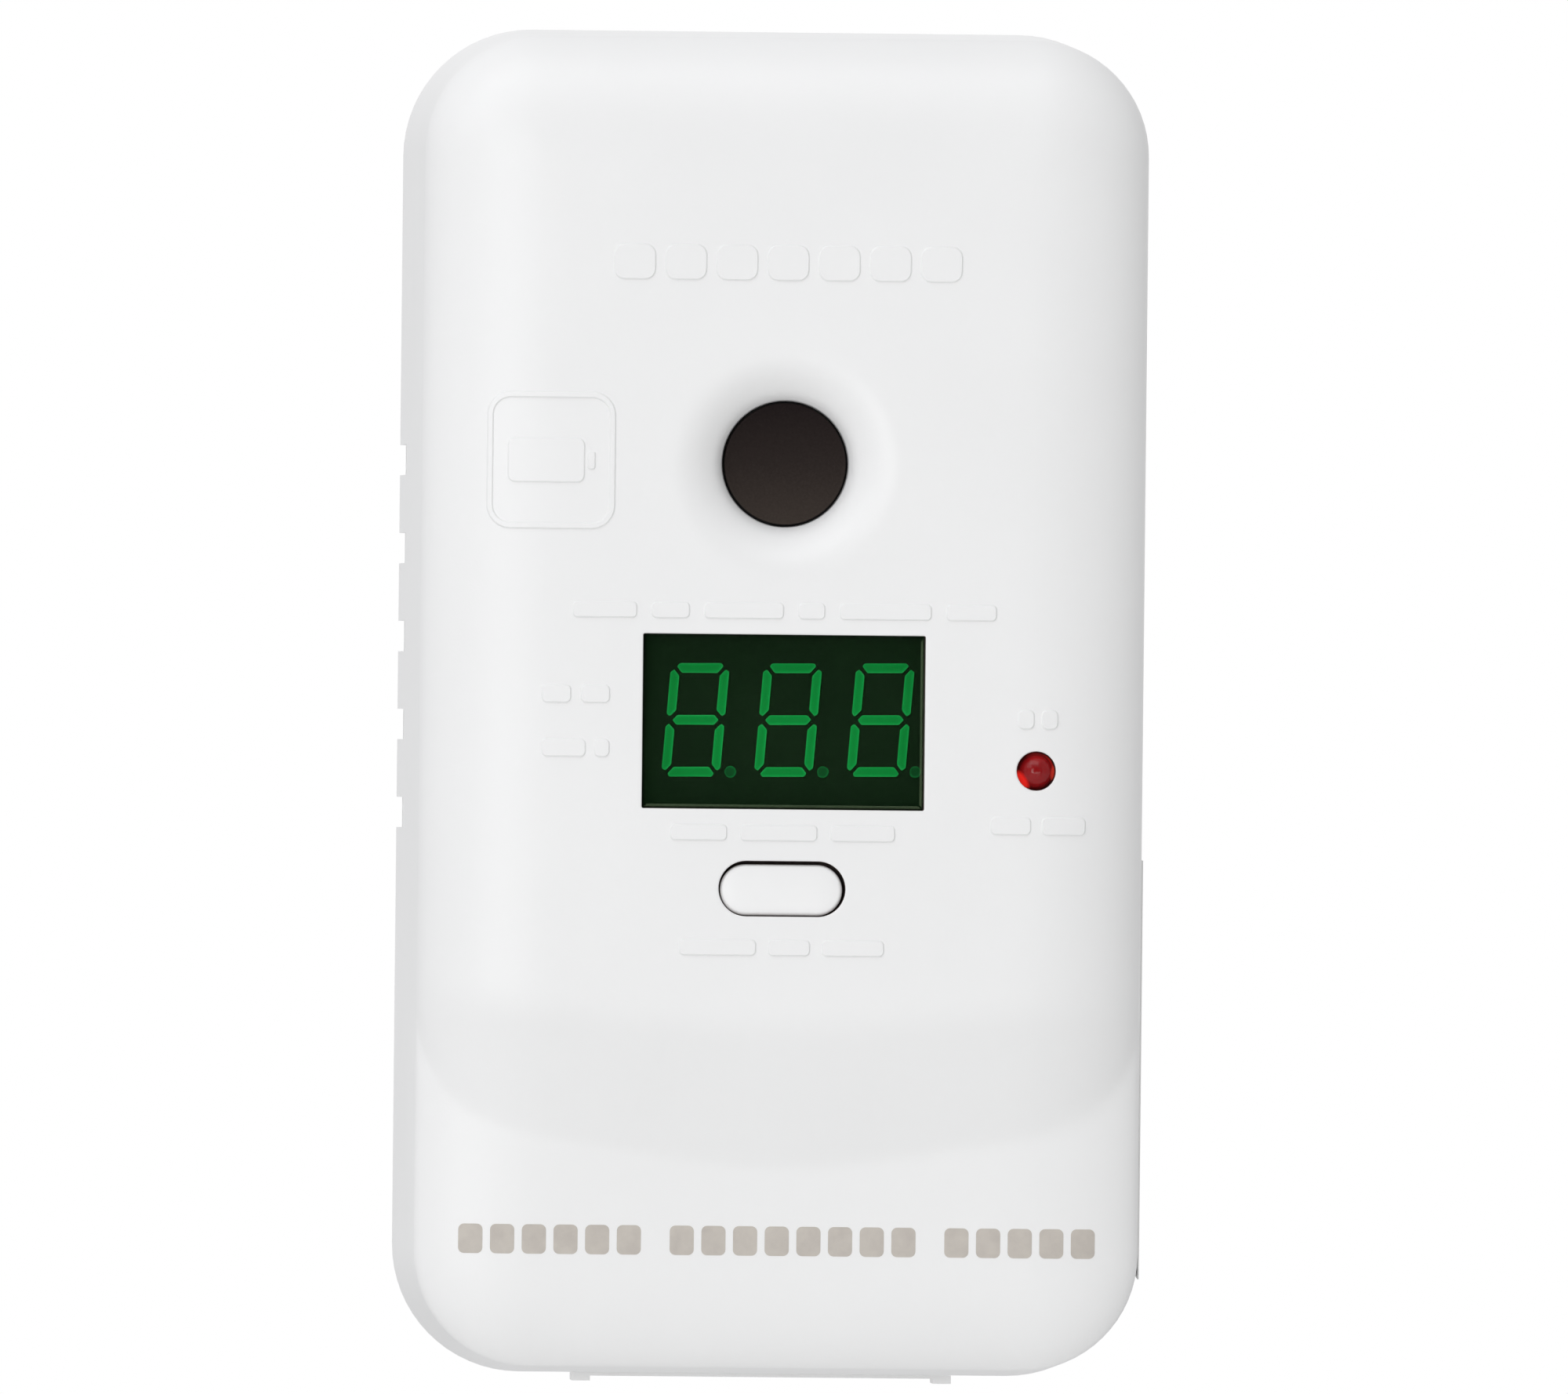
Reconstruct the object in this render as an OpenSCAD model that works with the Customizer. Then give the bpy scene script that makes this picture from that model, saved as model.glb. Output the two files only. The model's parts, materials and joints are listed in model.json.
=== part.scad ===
// Wall-mounted carbon monoxide detector with a numeric display, sealed battery and slide-on bracket.
// +X is to the right seen from the front, +Z is up and the front faces -Y.
// The origin is the centre of the bracket's two wall-screw holes, on the wall plane y = 0.
// "Depth" means the distance from the wall, so a point at depth d has y = -d.

/* [Body] */
// Width of the front cover at its rear edge
body_w = 60; // [59.6:0.1:61]
// Height of the front cover at its rear edge
body_h = 108.4; // [107.6:0.1:109]
// Depth from the wall to the main front panel
body_d = 36; // [35.8:0.1:36.8]
// Radius of the outline's corners
corner_r = 10.3; // [9.6:0.1:10.8]
// Wall thickness of both covers
wall = 2; // [1.9:0.05:2.1]
// Draft of the side walls in degrees
draft_angle = 2.3; // [1.8:0.1:2.4]

/* [Front panel] */
// Width of the rolled edge around the main panel
roll_w = 10.8; // [9.5:0.1:12]
// Roundness exponent of the rolled edge, 2 is elliptical
roll_power = 2.2; // [2:0.1:2.6]
// Height at which the front turns down towards the lower panel
slope_z = -25.3; // [-26:0.1:-24.5]
// Angle of that slope in degrees
slope_angle = 15; // [14:0.5:16]
// How far the slope's upper edge rises from the middle to the sides
slope_rise = 1.5; // [1:0.1:2]
// How far the lower panel lies behind the main panel
lower_step = 3.2; // [3:0.1:3.4]

/* [Openings] */
// Diameter of the sounder opening
horn_hole_d = 10; // [9.4:0.1:10.4]
// Height of the sounder's axis
horn_z = 19.1; // [18.9:0.1:19.5]
// Diameter of the shallow dish around the sounder opening
dish_d = 18.5; // [17:0.1:19.5]
// Depth of that dish at the opening
dish_depth = 2.3; // [1.7:0.1:2.4]
// Width of the display window
window_w = 22.5; // [22:0.1:23]
// Height of the display window
window_h = 13.9; // [13.6:0.1:14.2]
// Height of the display's centre
window_z = -1.5; // [-1.7:0.1:-1.3]
// Length of the test button's opening
button_w = 10.1; // [9.6:0.1:10.6]
// Height of the test button's opening
button_h = 4.4; // [4.2:0.1:4.6]
// Height of the test button's centre
button_z = -14.8; // [-15:0.1:-14.6]
// Diameter of the status light
led_d = 3; // [2.9:0.05:3.1]

/* [Vents] */
// Number of vent slots in each side wall
vent_count = 5; // [3:1:5]
// Distance between vent slots
vent_pitch = 7.1; // [6.6:0.1:7.2]
// Height of one vent slot
vent_h = 2.45; // [2:0.05:3]
// How far a vent slot runs forward from the rear edge
vent_len = 8; // [6:0.5:12]
// Height of the uppermost vent slot
vent_top_z = 19.3; // [18.5:0.1:19.5]

/* [Bracket] */
// Width of the bracket plate
plate_w = 50; // [48:0.5:51]
// Thickness of the bracket plate
plate_t = 2; // [1.8:0.05:2]
// Distance between the two wall-screw holes
screw_pitch = 50; // [46:1:56]
// Diameter of a wall-screw hole
screw_hole_d = 4.4; // [4:0.1:5]
// Height that the alarm lifts to come off the hooks
lift = 4; // [3.5:0.1:4]

/* [Inside] */
// Diameter of the lithium cell
cell_d = 17; // [16.5:0.1:17.2]
// Length of the lithium cell
cell_len = 34.5; // [33:0.1:35]
// Travel of the test button
press = 0.5; // [0.3:0.05:0.6]

/* [Hidden] */

$fn = 48;
cut = 0.1;              // how far a cutting solid runs past the face it cuts
gap = 0.3;              // clearance between the alarm and its bracket
fit_gap = 0.16;         // clearance between snug parts of one body
shell_white = [0.93, 0.94, 0.95];
board_green = [0.12, 0.32, 0.18];
steel_grey = [0.72, 0.73, 0.74];
part_black = [0.08, 0.08, 0.08];
pin_tin = [0.8, 0.8, 0.78];

// depths of the main layers, from the wall
back_d = plate_t + gap;             // rear face of the alarm
floor_d = back_d + wall;            // inner face of the rear cover
cover_rear_d = 5;                   // rear edge of the front cover
edge_d = body_d - 5.8;              // where the side walls end and the rolled edge starts
panel_in_d = body_d - wall;         // inner face of the main panel
board_d = 24;                       // rear face of the circuit board
board_t = 1.6;
board_front_d = board_d + board_t;

// half sizes of the rectangle that joins the centres of the outline's corner arcs
core_x = body_w / 2 - corner_r;
core_z = body_h / 2 - corner_r;
roll_h = body_d - edge_d;           // depth of the rolled edge
slope_blend = 3.6;                  // height over which the panel bends into the slope
step_fade = 0.34;                   // how much shallower the lower panel's step is at the sides
draft = tan(draft_angle);

// ---------- helpers ----------

// Stands flat shapes up: their x and y become +X and +Z, and their height grows towards the front.
module at_depth(d) {
    translate([0, -d, 0]) rotate([90, 0, 0]) children();
}

module place(x, z) {
    translate([x, z, 0]) children();
}

module rounded_rect(w, h, r) {
    square([w, h - 2 * r], center = true);
    square([w - 2 * r, h], center = true);
    for (x = [-1, 1], z = [-1, 1])
        translate([x * (w / 2 - r), z * (h / 2 - r)]) circle(r);
}

module obround(w, h) {
    square([w - h, h], center = true);
    for (x = [-1, 1])
        translate([x * (w - h) / 2, 0]) circle(h / 2);
}

module rect_ring(w, h, t) {
    difference() {
        square([w, h], center = true);
        square([w - 2 * t, h - 2 * t], center = true);
    }
}

// A box given by its centre and size across the front, and its depths from the wall.
module box(x, z, w, h, d1, d2) {
    at_depth(d1) place(x, z) translate([-w / 2, -h / 2, 0]) cube([w, h, d2 - d1]);
}

// A round bar along the depth axis.
module bar(x, z, r, d1, d2) {
    at_depth(d1) place(x, z) cylinder(r = r, h = d2 - d1);
}

// ---------- the covers' faceted skin ----------

// Depth lost at distance e inside the outline, for a rolled edge of width w, depth h and power n.
function roll(e, w, h, n) = e >= w ? 0 : h * (1 - pow(max(0, 1 - pow(1 - e / w, n)), 1 / n));

// A ramp that starts smoothly: 0 below -b/2 and v above b/2.
function ramp(v, b) = v <= -b / 2 ? 0 : v >= b / 2 ? v : pow(v + b / 2, 2) / (2 * b);

// Runs smoothly from 0 in the middle to 1 near the sides.
function bow(x) = (1 - cos(min(180, 180 * abs(x) / (body_w / 2 - 4)))) / 2;

// Distance inside an outline whose corner arcs have radius r.
function inside(x, z, r) =
    let (qx = abs(x) - core_x, qz = abs(z) - core_z)
    r - norm([max(qx, 0), max(qz, 0)]) - min(max(qx, qz), 0);

// Depth of the front skin, moved inwards by s, where its outline's corners have radius r.
function front_depth(x, z, r, s) =
    let (
        e = max(0, inside(x, z, r)),
        edge_drop = roll(e, roll_w, roll_h, roll_power),
        step = lower_step - step_fade * bow(x),
        upper = body_d - s - edge_drop
            - tan(slope_angle) * ramp(slope_z + slope_rise * bow(x) - z, slope_blend),
        lower = body_d - s - step - edge_drop * (roll_h - step) / roll_h
    )
    max(upper, lower);

// Columns and rows of the grid that covers the middle of a skin.
columns = [for (i = [0:8]) core_x * (i / 4 - 1)];
rows = [for (z = [-core_z, -40, -38, -36, -34, -32, -30, -28, -26, -24, -22, 0, 22, core_z]) z];
arc_steps = 6;

function corner_arc(sx, sz, a0, p) = [
    for (k = [1:arc_steps - 1])
        let (a = a0 + 90 * k / arc_steps)
        [sx * core_x + p * cos(a), sz * core_z + p * sin(a)]
];

// One ring round the core rectangle, at distance p outside it, anticlockwise from the lower right.
function ring(p) = concat(
    [for (z = rows) [core_x + p, z]],
    corner_arc(1, 1, 0, p),
    [for (i = [len(columns) - 1:-1:0]) [columns[i], core_z + p]],
    corner_arc(-1, 1, 90, p),
    [for (j = [len(rows) - 1:-1:0]) [-core_x - p, rows[j]]],
    corner_arc(-1, -1, 180, p),
    [for (x = columns) [x, -core_z - p]],
    corner_arc(1, -1, 270, p)
);

// The grid point that each ring point closes onto, in the same order as ring().
function grid_id(i, j) = j * len(columns) + i;
nx = len(columns) - 1;
nz = len(rows) - 1;
ring_to_grid = concat(
    [for (j = [0:nz]) grid_id(nx, j)],
    [for (k = [1:arc_steps - 1]) grid_id(nx, nz)],
    [for (i = [nx:-1:0]) grid_id(i, nz)],
    [for (k = [1:arc_steps - 1]) grid_id(0, nz)],
    [for (j = [nz:-1:0]) grid_id(0, j)],
    [for (k = [1:arc_steps - 1]) grid_id(0, 0)],
    [for (i = [0:nx]) grid_id(i, 0)],
    [for (k = [1:arc_steps - 1]) grid_id(nx, 0)]
);

// A closed solid from rings of [x, z, depth] points, rear ring first, and a grid of such points.
module ringed_solid(rings, grid) {
    n = len(ring_to_grid);
    last = len(rings) - 1;
    back_centre = [0, 0, rings[0][0].z];
    points = concat([for (r = rings) each r], grid, [back_centre]);
    first_grid = len(rings) * n;
    bands = [
        for (m = [0:last - 1], k = [0:n - 1])
            let (a = m * n + k, b = m * n + (k + 1) % n)
            each [[a, a + n, b], [b, a + n, b + n]]
    ];
    closing = [
        for (k = [0:n - 1])
            let (
                a = last * n + k, b = last * n + (k + 1) % n,
                c = first_grid + ring_to_grid[k], d = first_grid + ring_to_grid[(k + 1) % n]
            )
            each c == d ? [[a, c, b]] : [[a, c, b], [b, c, d]]
    ];
    middle = [
        for (j = [0:nz - 1], i = [0:nx - 1])
            let (
                a = first_grid + grid_id(i, j), b = first_grid + grid_id(i + 1, j),
                c = first_grid + grid_id(i, j + 1), d = first_grid + grid_id(i + 1, j + 1)
            )
            each [[a, c, b], [b, c, d]]
    ];
    back = [for (k = [0:n - 1]) [(k + 1) % n, len(points) - 1, k]];
    polyhedron([for (p = points) [p.x, -p.z, p.y]], concat(bands, closing, middle, back));
}

// The front cover's outside, or its inside when it is moved inwards by s, from rear_d forwards.
module front_skin(s, rear_d, insets) {
    rear_r = corner_r - s - draft * (rear_d - cover_rear_d);
    front_r = corner_r - s - draft * (edge_d - cover_rear_d);
    rings = concat(
        [[for (p = ring(rear_r)) [p.x, p.y, rear_d]]],
        [
            for (e = insets)
                [for (p = ring(front_r - e)) [p.x, p.y, front_depth(p.x, p.y, front_r, s)]]
        ]
    );
    grid = [for (z = rows, x = columns) [x, z, front_depth(x, z, front_r, s)]];
    ringed_solid(rings, grid);
}

// The rear cover's outside: a shallow tray with a rounded rear edge.
module rear_skin(s, edge_r) {
    rings = concat(
        [
            for (a = [0:30:90])
                [
                    for (p = ring(corner_r - s - edge_r * (1 - sin(a))))
                        [p.x, p.y, back_d + edge_r * (1 - cos(a))]
                ]
        ],
        [[for (p = ring(corner_r - s)) [p.x, p.y, cover_rear_d]]]
    );
    grid = [for (z = rows, x = columns) [x, z, cover_rear_d]];
    ringed_solid(rings, grid);
}

// ---------- shared positions ----------

corner_post_x = core_x + 2.6;
corner_post_z = core_z + 2.3;
corner_posts = [for (x = [-1, 1], z = [-1, 1]) [x * corner_post_x, z * corner_post_z]];
board_posts = [[-21, 36], [21, 36], [-21, -21], [21, -21]];
hook_x = 19;
hook_z = [24, -18];
hook_w = 5;
hook_h = 2.5;
hook_lip = lift - 0.5;
hook_lip_d1 = floor_d + gap;
hook_lip_d2 = hook_lip_d1 + 1.4;
shelf_half = 15.35;                 // half width of the bracket's bottom shelf
shelf_top_z = -body_h / 2 + 0.9;
shelf_t = 1.2;
shelf_d = cover_rear_d - 0.6;       // the shelf stops just behind the front cover
rib_w = 1.5;
led_x = 20.2;
led_z = -5.2;
slider_z = -14;
slider_pad = [5, 4];
slider_travel = 4;
sensor_x = -13.5;
sensor_z = 7;
cell_z = -39;
cell_axis_d = floor_d + 1.2 + cell_d / 2;
vent_z = [for (i = [0:vent_count - 1]) vent_top_z - i * vent_pitch];

// ---------- bracket ----------

module bracket_hook(x, z) {
    box(x, z, hook_w, hook_h, plate_t - cut, hook_lip_d2);
    box(x, z + hook_lip / 2, hook_w, hook_h + hook_lip, hook_lip_d1, hook_lip_d2);
}

module mounting_bracket() {
    plate_top = 40;
    plate_bottom = -50;
    screw_head_room = 4.2;
    color(shell_white)
    difference() {
        union() {
            at_depth(0) linear_extrude(plate_t)
                place(0, (plate_top + plate_bottom) / 2)
                rounded_rect(plate_w, plate_top - plate_bottom, 6);
            box(0, (shelf_top_z - shelf_t + plate_bottom + 2) / 2, 2 * shelf_half,
                plate_bottom + 2 - shelf_top_z + shelf_t, 0, plate_t);
            box(0, shelf_top_z - shelf_t / 2, 2 * shelf_half, shelf_t, 0, shelf_d);
            for (x = [-1, 1])
                box(x * (shelf_half - rib_w / 2), shelf_top_z - shelf_t / 2 - 0.2, rib_w,
                    shelf_t + 0.4, 0, shelf_d);
            for (x = [-1, 1], z = hook_z)
                bracket_hook(x * hook_x, z);
        }
        for (z = [-1, 1])
            bar(0, z * screw_pitch / 2, screw_hole_d / 2, -cut, plate_t + cut);
        // room for the heads of the two lower cover screws
        for (x = [-1, 1])
            bar(x * corner_post_x, -corner_post_z, screw_head_room, -cut, plate_t + cut);
        // shallow rebate that lightens the middle of the plate
        at_depth(-cut) linear_extrude(cut + 0.6) place(0, 3) rounded_rect(30, 30, 3);
    }
}

// ---------- rear cover ----------

module rear_cover() {
    inset = 0.5;
    slot_h = hook_h + lift + 2.9;
    slot_top = hook_h / 2 + 0.5;
    tongue_inset = wall + 0.3;
    tongue_t = 1.4;
    tongue_d = 9;
    color(shell_white)
    difference() {
        union() {
            difference() {
                rear_skin(inset, 1.6);
                at_depth(floor_d) linear_extrude(body_d)
                    rounded_rect(body_w - 2 * (tongue_inset + tongue_t),
                        body_h - 2 * (tongue_inset + tongue_t),
                        corner_r - tongue_inset - tongue_t);
            }
            // tongue that locates the front cover
            at_depth(floor_d) linear_extrude(tongue_d - floor_d) difference() {
                rounded_rect(body_w - 2 * tongue_inset, body_h - 2 * tongue_inset,
                    corner_r - tongue_inset);
                rounded_rect(body_w - 2 * (tongue_inset + tongue_t),
                    body_h - 2 * (tongue_inset + tongue_t),
                    corner_r - tongue_inset - tongue_t);
            }
            for (p = corner_posts)
                bar(p.x, p.y, 3.8, floor_d - cut, 14);
            // cradle that holds the cell from both ends
            for (x = [-1, 1])
                box(x * (cell_len / 2 + 2.2), cell_z, 1.4, 14, floor_d - cut, 14);
        }
        for (p = corner_posts) {
            bar(p.x, p.y, 2.9, back_d - cut, 5.5);
            bar(p.x, p.y, 1.6, back_d, 14 + cut);
        }
        for (x = [-1, 1], z = hook_z)
            box(x * hook_x, z + slot_top - slot_h / 2, hook_w + 1.6, slot_h, back_d - cut, floor_d + cut);
        // recess over the bracket's shelf
        box(0, shelf_top_z - 2 + 0.05, 2 * shelf_half + 2 * gap, 4, back_d - cut, cover_rear_d);
        // slot of the activation slider
        box(slider_travel / 2, slider_z, slider_pad.x + slider_travel + 0.8, slider_pad.y + 0.8,
            back_d - cut, floor_d + cut);
        // rebate of the rear label
        box(0, 8, 27, 30, back_d - cut, back_d + 0.2);
    }
}

// ---------- front cover ----------

module vent_slot(side, z) {
    box(side * body_w / 2, z, 3 * wall, vent_h, cover_rear_d - cut, cover_rear_d + vent_len);
}

module dish_cutter() {
    hole_r = horn_hole_d / 2;
    rim_r = dish_d / 2;
    steps = 8;
    dish_power = 2.2;
    // the dish falls ever more steeply towards the opening
    profile = [
        for (i = [0:steps])
            let (t = i / steps)
            [rim_r + (hole_r - rim_r) * t, -dish_depth * pow(t, dish_power)]
    ];
    at_depth(body_d) place(0, horn_z)
        rotate_extrude() polygon(concat([[0, 2], [rim_r, 2]], profile, [[0, -dish_depth]]));
}

module front_cover() {
    outer_insets = [0, 0.12, 0.45, 1, 1.8, 2.8, 4.2, 6.2];
    inner_insets = [0, 0.3, 1, 2.2, 4];
    ledge_t = 1.2;
    color(shell_white)
    difference() {
        union() {
            difference() {
                front_skin(0, cover_rear_d, outer_insets);
                front_skin(wall, cover_rear_d - 1, inner_insets);
            }
            // thicker ring behind the dish
            bar(0, horn_z, 10.5, body_d - 3.8, panel_in_d + 0.5);
            // locating ribs of the display and the button
            at_depth(panel_in_d - 2.1) linear_extrude(2.6) place(0, window_z)
                rect_ring(window_w + 4, window_h + 4, 0.9);
            at_depth(panel_in_d - 2.5) linear_extrude(3) place(0, button_z) difference() {
                obround(button_w + 4.6, button_h + 4.6);
                obround(button_w + 3, button_h + 3);
            }
            bar(led_x, led_z, 2.7, panel_in_d - 2, panel_in_d + 0.5);
            for (p = corner_posts)
                bar(p.x, p.y, 3.1, 14.2, front_depth(p.x, p.y, corner_r - 1, 0.85 * wall));
            for (p = board_posts)
                bar(p.x, p.y, 2.2, board_front_d + 0.1, panel_in_d + 0.5);
        }
        dish_cutter();
        bar(0, horn_z, horn_hole_d / 2, 20, body_d);
        at_depth(30) linear_extrude(10) place(0, window_z) square([window_w, window_h], center = true);
        at_depth(30) linear_extrude(10) place(0, button_z) obround(button_w, button_h);
        bar(led_x, led_z, led_d / 2 + 0.1, 20, body_d + 2);
        for (side = [-1, 1], z = vent_z)
            vent_slot(side, z);
        for (p = corner_posts)
            bar(p.x, p.y, 1.45, 14, 24);
        for (p = board_posts)
            bar(p.x, p.y, 1.1, board_front_d, 31.5);
    }
}

// ---------- display ----------

module display_filter() {
    color([0.05, 0.2, 0.08, 0.8])
    union() {
        at_depth(panel_in_d - 0.7) linear_extrude(0.6) place(0, window_z)
            square([window_w + 1.8, window_h + 1.8], center = true);
        at_depth(panel_in_d - 0.2) linear_extrude(1.7) place(0, window_z)
            square([window_w - 0.2, window_h - 0.2], center = true);
    }
}

display_face_d = panel_in_d - 0.9;
display_t = 7.1;
pocket_t = 0.6;
digit_pitch = 7.4;
digit_first_x = -6.85;              // centre of the first digit
digit_z = window_z + 0.12;
digit_slant = 5;
upright_x = 1.98;                   // distance of an upright segment's middle from the digit's centre
upright_half_w = 0.38;
level_z = 4.14;                     // distance of the top and bottom segments from the middle one
level_half_h = 0.4;
dot_r = 0.48;
dot_x = 2.77;                       // distance of the decimal point from the digit's centre

module display_housing() {
    color(part_black)
    difference() {
        at_depth(display_face_d - display_t) linear_extrude(display_t) place(0, window_z)
            square([window_w, window_h], center = true);
        at_depth(display_face_d - pocket_t) linear_extrude(pocket_t + cut) display_marks();
    }
}

// The middle segment of a digit.
module middle_segment() {
    tip = 1.86;
    shoulder = tip - 0.36;
    polygon([
        [-tip, 0], [-shoulder, level_half_h], [shoulder, level_half_h],
        [tip, 0], [shoulder, -level_half_h], [-shoulder, -level_half_h]
    ]);
}

// The top segment of a digit, with mitred ends.
module level_segment() {
    outer = 1.68;
    tip = 1.87;
    inner = 1.42;
    top = level_z + level_half_h;
    polygon([
        [-outer, top], [outer, top], [tip, top - 0.26],
        [inner, top - 2 * level_half_h], [-inner, top - 2 * level_half_h], [-tip, top - 0.26]
    ]);
}

// The upper right segment of a digit, with mitred ends.
module upright_segment() {
    inner = upright_x - upright_half_w;
    outer = upright_x + upright_half_w;
    polygon([
        [inner, 3.53], [upright_x + 0.08, 4.06], [outer, 3.84],
        [outer, 0.5], [upright_x + 0.1, 0.28], [inner, 0.78]
    ]);
}

module digit() {
    middle_segment();
    for (z = [0, 1])
        mirror([0, z]) {
            level_segment();
            for (x = [0, 1])
                mirror([x, 0]) upright_segment();
        }
}

// The slanted digits and their decimal points.
module display_marks() {
    for (i = [0:2])
        translate([digit_first_x + i * digit_pitch, digit_z]) {
            multmatrix([[1, tan(digit_slant), 0, 0], [0, 1, 0, 0], [0, 0, 1, 0], [0, 0, 0, 1]])
                digit();
            translate([dot_x, -level_z]) circle(dot_r);
        }
}

module display_segments() {
    color([0.1, 0.7, 0.3])
    at_depth(display_face_d - pocket_t + 0.05) linear_extrude(pocket_t - 0.1) display_marks();
}

pin_row = [for (i = [0:5]) (i - 2.5) * 2.54];
display_pin_rows = [window_z - 5.08, window_z + 5.08];

module display_pins() {
    color(pin_tin)
    for (x = pin_row, z = display_pin_rows)
        bar(x, z, 0.25, board_d - 1, display_face_d - display_t - 0.02);
}

// ---------- test button and its switch ----------

plunger_front_d = panel_in_d - 3.4;
button_play = [-0.07, -0.1];        // the button hangs a little low and to the left in its opening

module test_button() {
    color([0.97, 0.97, 0.98])
    union() {
        at_depth(panel_in_d - 1.7) linear_extrude(body_d - 0.15 - panel_in_d + 1.7)
            place(button_play.x, button_z + button_play.y)
            obround(button_w - 2 * fit_gap, button_h - 2 * fit_gap);
        at_depth(panel_in_d - 1.9) linear_extrude(1.1) place(button_play.x, button_z + button_play.y)
            obround(button_w + 1.8, button_h + 1.8);
        bar(0, button_z, 1.6, plunger_front_d + 0.05, panel_in_d - 1.8);
    }
}

module tact_switch_body() {
    color(part_black)
    difference() {
        box(0, button_z, 6, 6, board_front_d + 0.02, board_front_d + 3.5);
        bar(0, button_z, 1.78, board_front_d + 1.2, board_front_d + 4);
    }
}

module tact_switch_plunger() {
    color([0.6, 0.12, 0.1])
    bar(0, button_z, 1.7, board_front_d + 1.3 + press, plunger_front_d);
}

// ---------- status light ----------

led_leads_x = [led_x - 1.27, led_x + 1.27];
led_base_d = body_d - 4.9;

module status_led() {
    dome_r = led_d / 2;
    color([0.6, 0.05, 0.05, 0.7])
    at_depth(led_base_d) place(led_x, led_z) rotate_extrude()
        union() {
            square([dome_r, 5.1 - dome_r]);
            intersection() {
                translate([0, 5.1 - dome_r]) circle(dome_r);
                square([dome_r + 1, 8]);
            }
        }
}

module led_leads() {
    color(pin_tin)
    for (x = led_leads_x)
        bar(x, led_z, 0.25, board_d - 1, led_base_d - 0.02);
}

module led_spacer() {
    color([0.85, 0.85, 0.82])
    difference() {
        bar(led_x, led_z, 2.4, board_front_d + 0.02, led_base_d - 0.2);
        for (x = led_leads_x)
            bar(x, led_z, 0.45, board_front_d - cut, led_base_d);
    }
}

// ---------- sounder ----------

horn_r = 12.8;
horn_front_d = body_d - 4.3;        // front of the sounder's housing
piezo_d = horn_front_d - 2.6;

module horn_housing() {
    color(part_black)
    difference() {
        bar(0, horn_z, horn_r, board_front_d + 0.1, horn_front_d);
        bar(0, horn_z, horn_r - 1.2, board_front_d, piezo_d);
        bar(0, horn_z, horn_r - 2.2, piezo_d - cut, horn_front_d - 1);
        bar(0, horn_z, 4.2, horn_front_d - 2, horn_front_d + cut);
    }
}

module horn_dust_cap() {
    bowl_r = 22;
    rim_d = body_d - 2.45;
    cap_t = 1.5;
    color([0.13, 0.11, 0.11])
    difference() {
        bar(0, horn_z, horn_hole_d / 2 - fit_gap, rim_d - cap_t, rim_d);
        at_depth(rim_d + bowl_r - 0.6) place(0, horn_z) sphere(bowl_r, $fn = 96);
    }
}

module horn_gasket() {
    color([0.2, 0.2, 0.2])
    difference() {
        bar(0, horn_z, 9.5, horn_front_d + 0.02, body_d - 3.82);
        bar(0, horn_z, 6, horn_front_d - cut, body_d);
    }
}

module piezo_plate() {
    color([0.8, 0.65, 0.3])
    bar(0, horn_z, horn_r - 1.4, piezo_d - 0.3, piezo_d - 0.02);
}

module piezo_ceramic() {
    color([0.9, 0.88, 0.82])
    bar(0, horn_z, 7.5, piezo_d - 0.5, piezo_d - 0.32);
}

module horn_contacts() {
    color(pin_tin) {
        bar(-3, horn_z, 0.5, board_front_d + 0.02, piezo_d - 0.55);
        bar(3, horn_z, 0.5, board_front_d + 0.02, piezo_d - 0.55);
        bar(0, horn_z - 9, 0.5, board_front_d + 0.02, piezo_d - 0.35);
    }
}

// ---------- circuit board ----------

board_w = 50;
board_top_z = 41;
board_bottom_z = -26;
sensor_pin_ring = [for (a = [30, 150, 270]) [sensor_x + 4.5 * cos(a), sensor_z + 4.5 * sin(a)]];

module main_board() {
    color(board_green)
    difference() {
        at_depth(board_d) linear_extrude(board_t) place(0, (board_top_z + board_bottom_z) / 2)
            rounded_rect(board_w, board_top_z - board_bottom_z, 1.5);
        for (p = board_posts)
            bar(p.x, p.y, 1.25, board_d - cut, board_front_d + cut);
        for (x = pin_row, z = display_pin_rows)
            bar(x, z, 0.4, board_d - cut, board_front_d + cut);
        for (x = led_leads_x)
            bar(x, led_z, 0.4, board_d - cut, board_front_d + cut);
        for (p = sensor_pin_ring)
            bar(p.x, p.y, 0.65, board_d - cut, board_front_d + cut);
    }
}

// A chip on the board's rear face, with a leg row along each long side.
module chip(x, z, w, h, t, legs, pitch) {
    box(x, z, w, h, board_d - 0.15 - t, board_d - 0.15);
    for (side = [-1, 1], i = [0:legs - 1])
        box(x + side * (w / 2 + 0.45), z + (i - (legs - 1) / 2) * pitch, 1.1, 0.4 * pitch,
            board_d - 0.6, board_d - 0.02);
}

module microcontroller() {
    color(part_black)
    chip(4, 19, 7.5, 12.6, 1.6, 10, 1.27);
}

module amplifier_chip() {
    color(part_black)
    chip(-14, -6, 3.9, 4.9, 1.4, 4, 1.27);
}

module clock_crystal() {
    color(steel_grey)
    at_depth(board_d - 3.5) linear_extrude(3.48) place(4, 8.5) obround(10.5, 4.2);
}

chip_rows = [-2, 2];
chip_columns = [-6, -2, 2, 6, 10];

module chip_resistors() {
    color(part_black)
    for (x = chip_columns, z = chip_rows)
        box(x, z, 2, 1.25, board_d - 0.55, board_d - 0.02);
}

module chip_capacitors() {
    color([0.72, 0.6, 0.42])
    for (x = chip_columns)
        box(x, 31, 2, 1.25, board_d - 0.95, board_d - 0.02);
}

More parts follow.
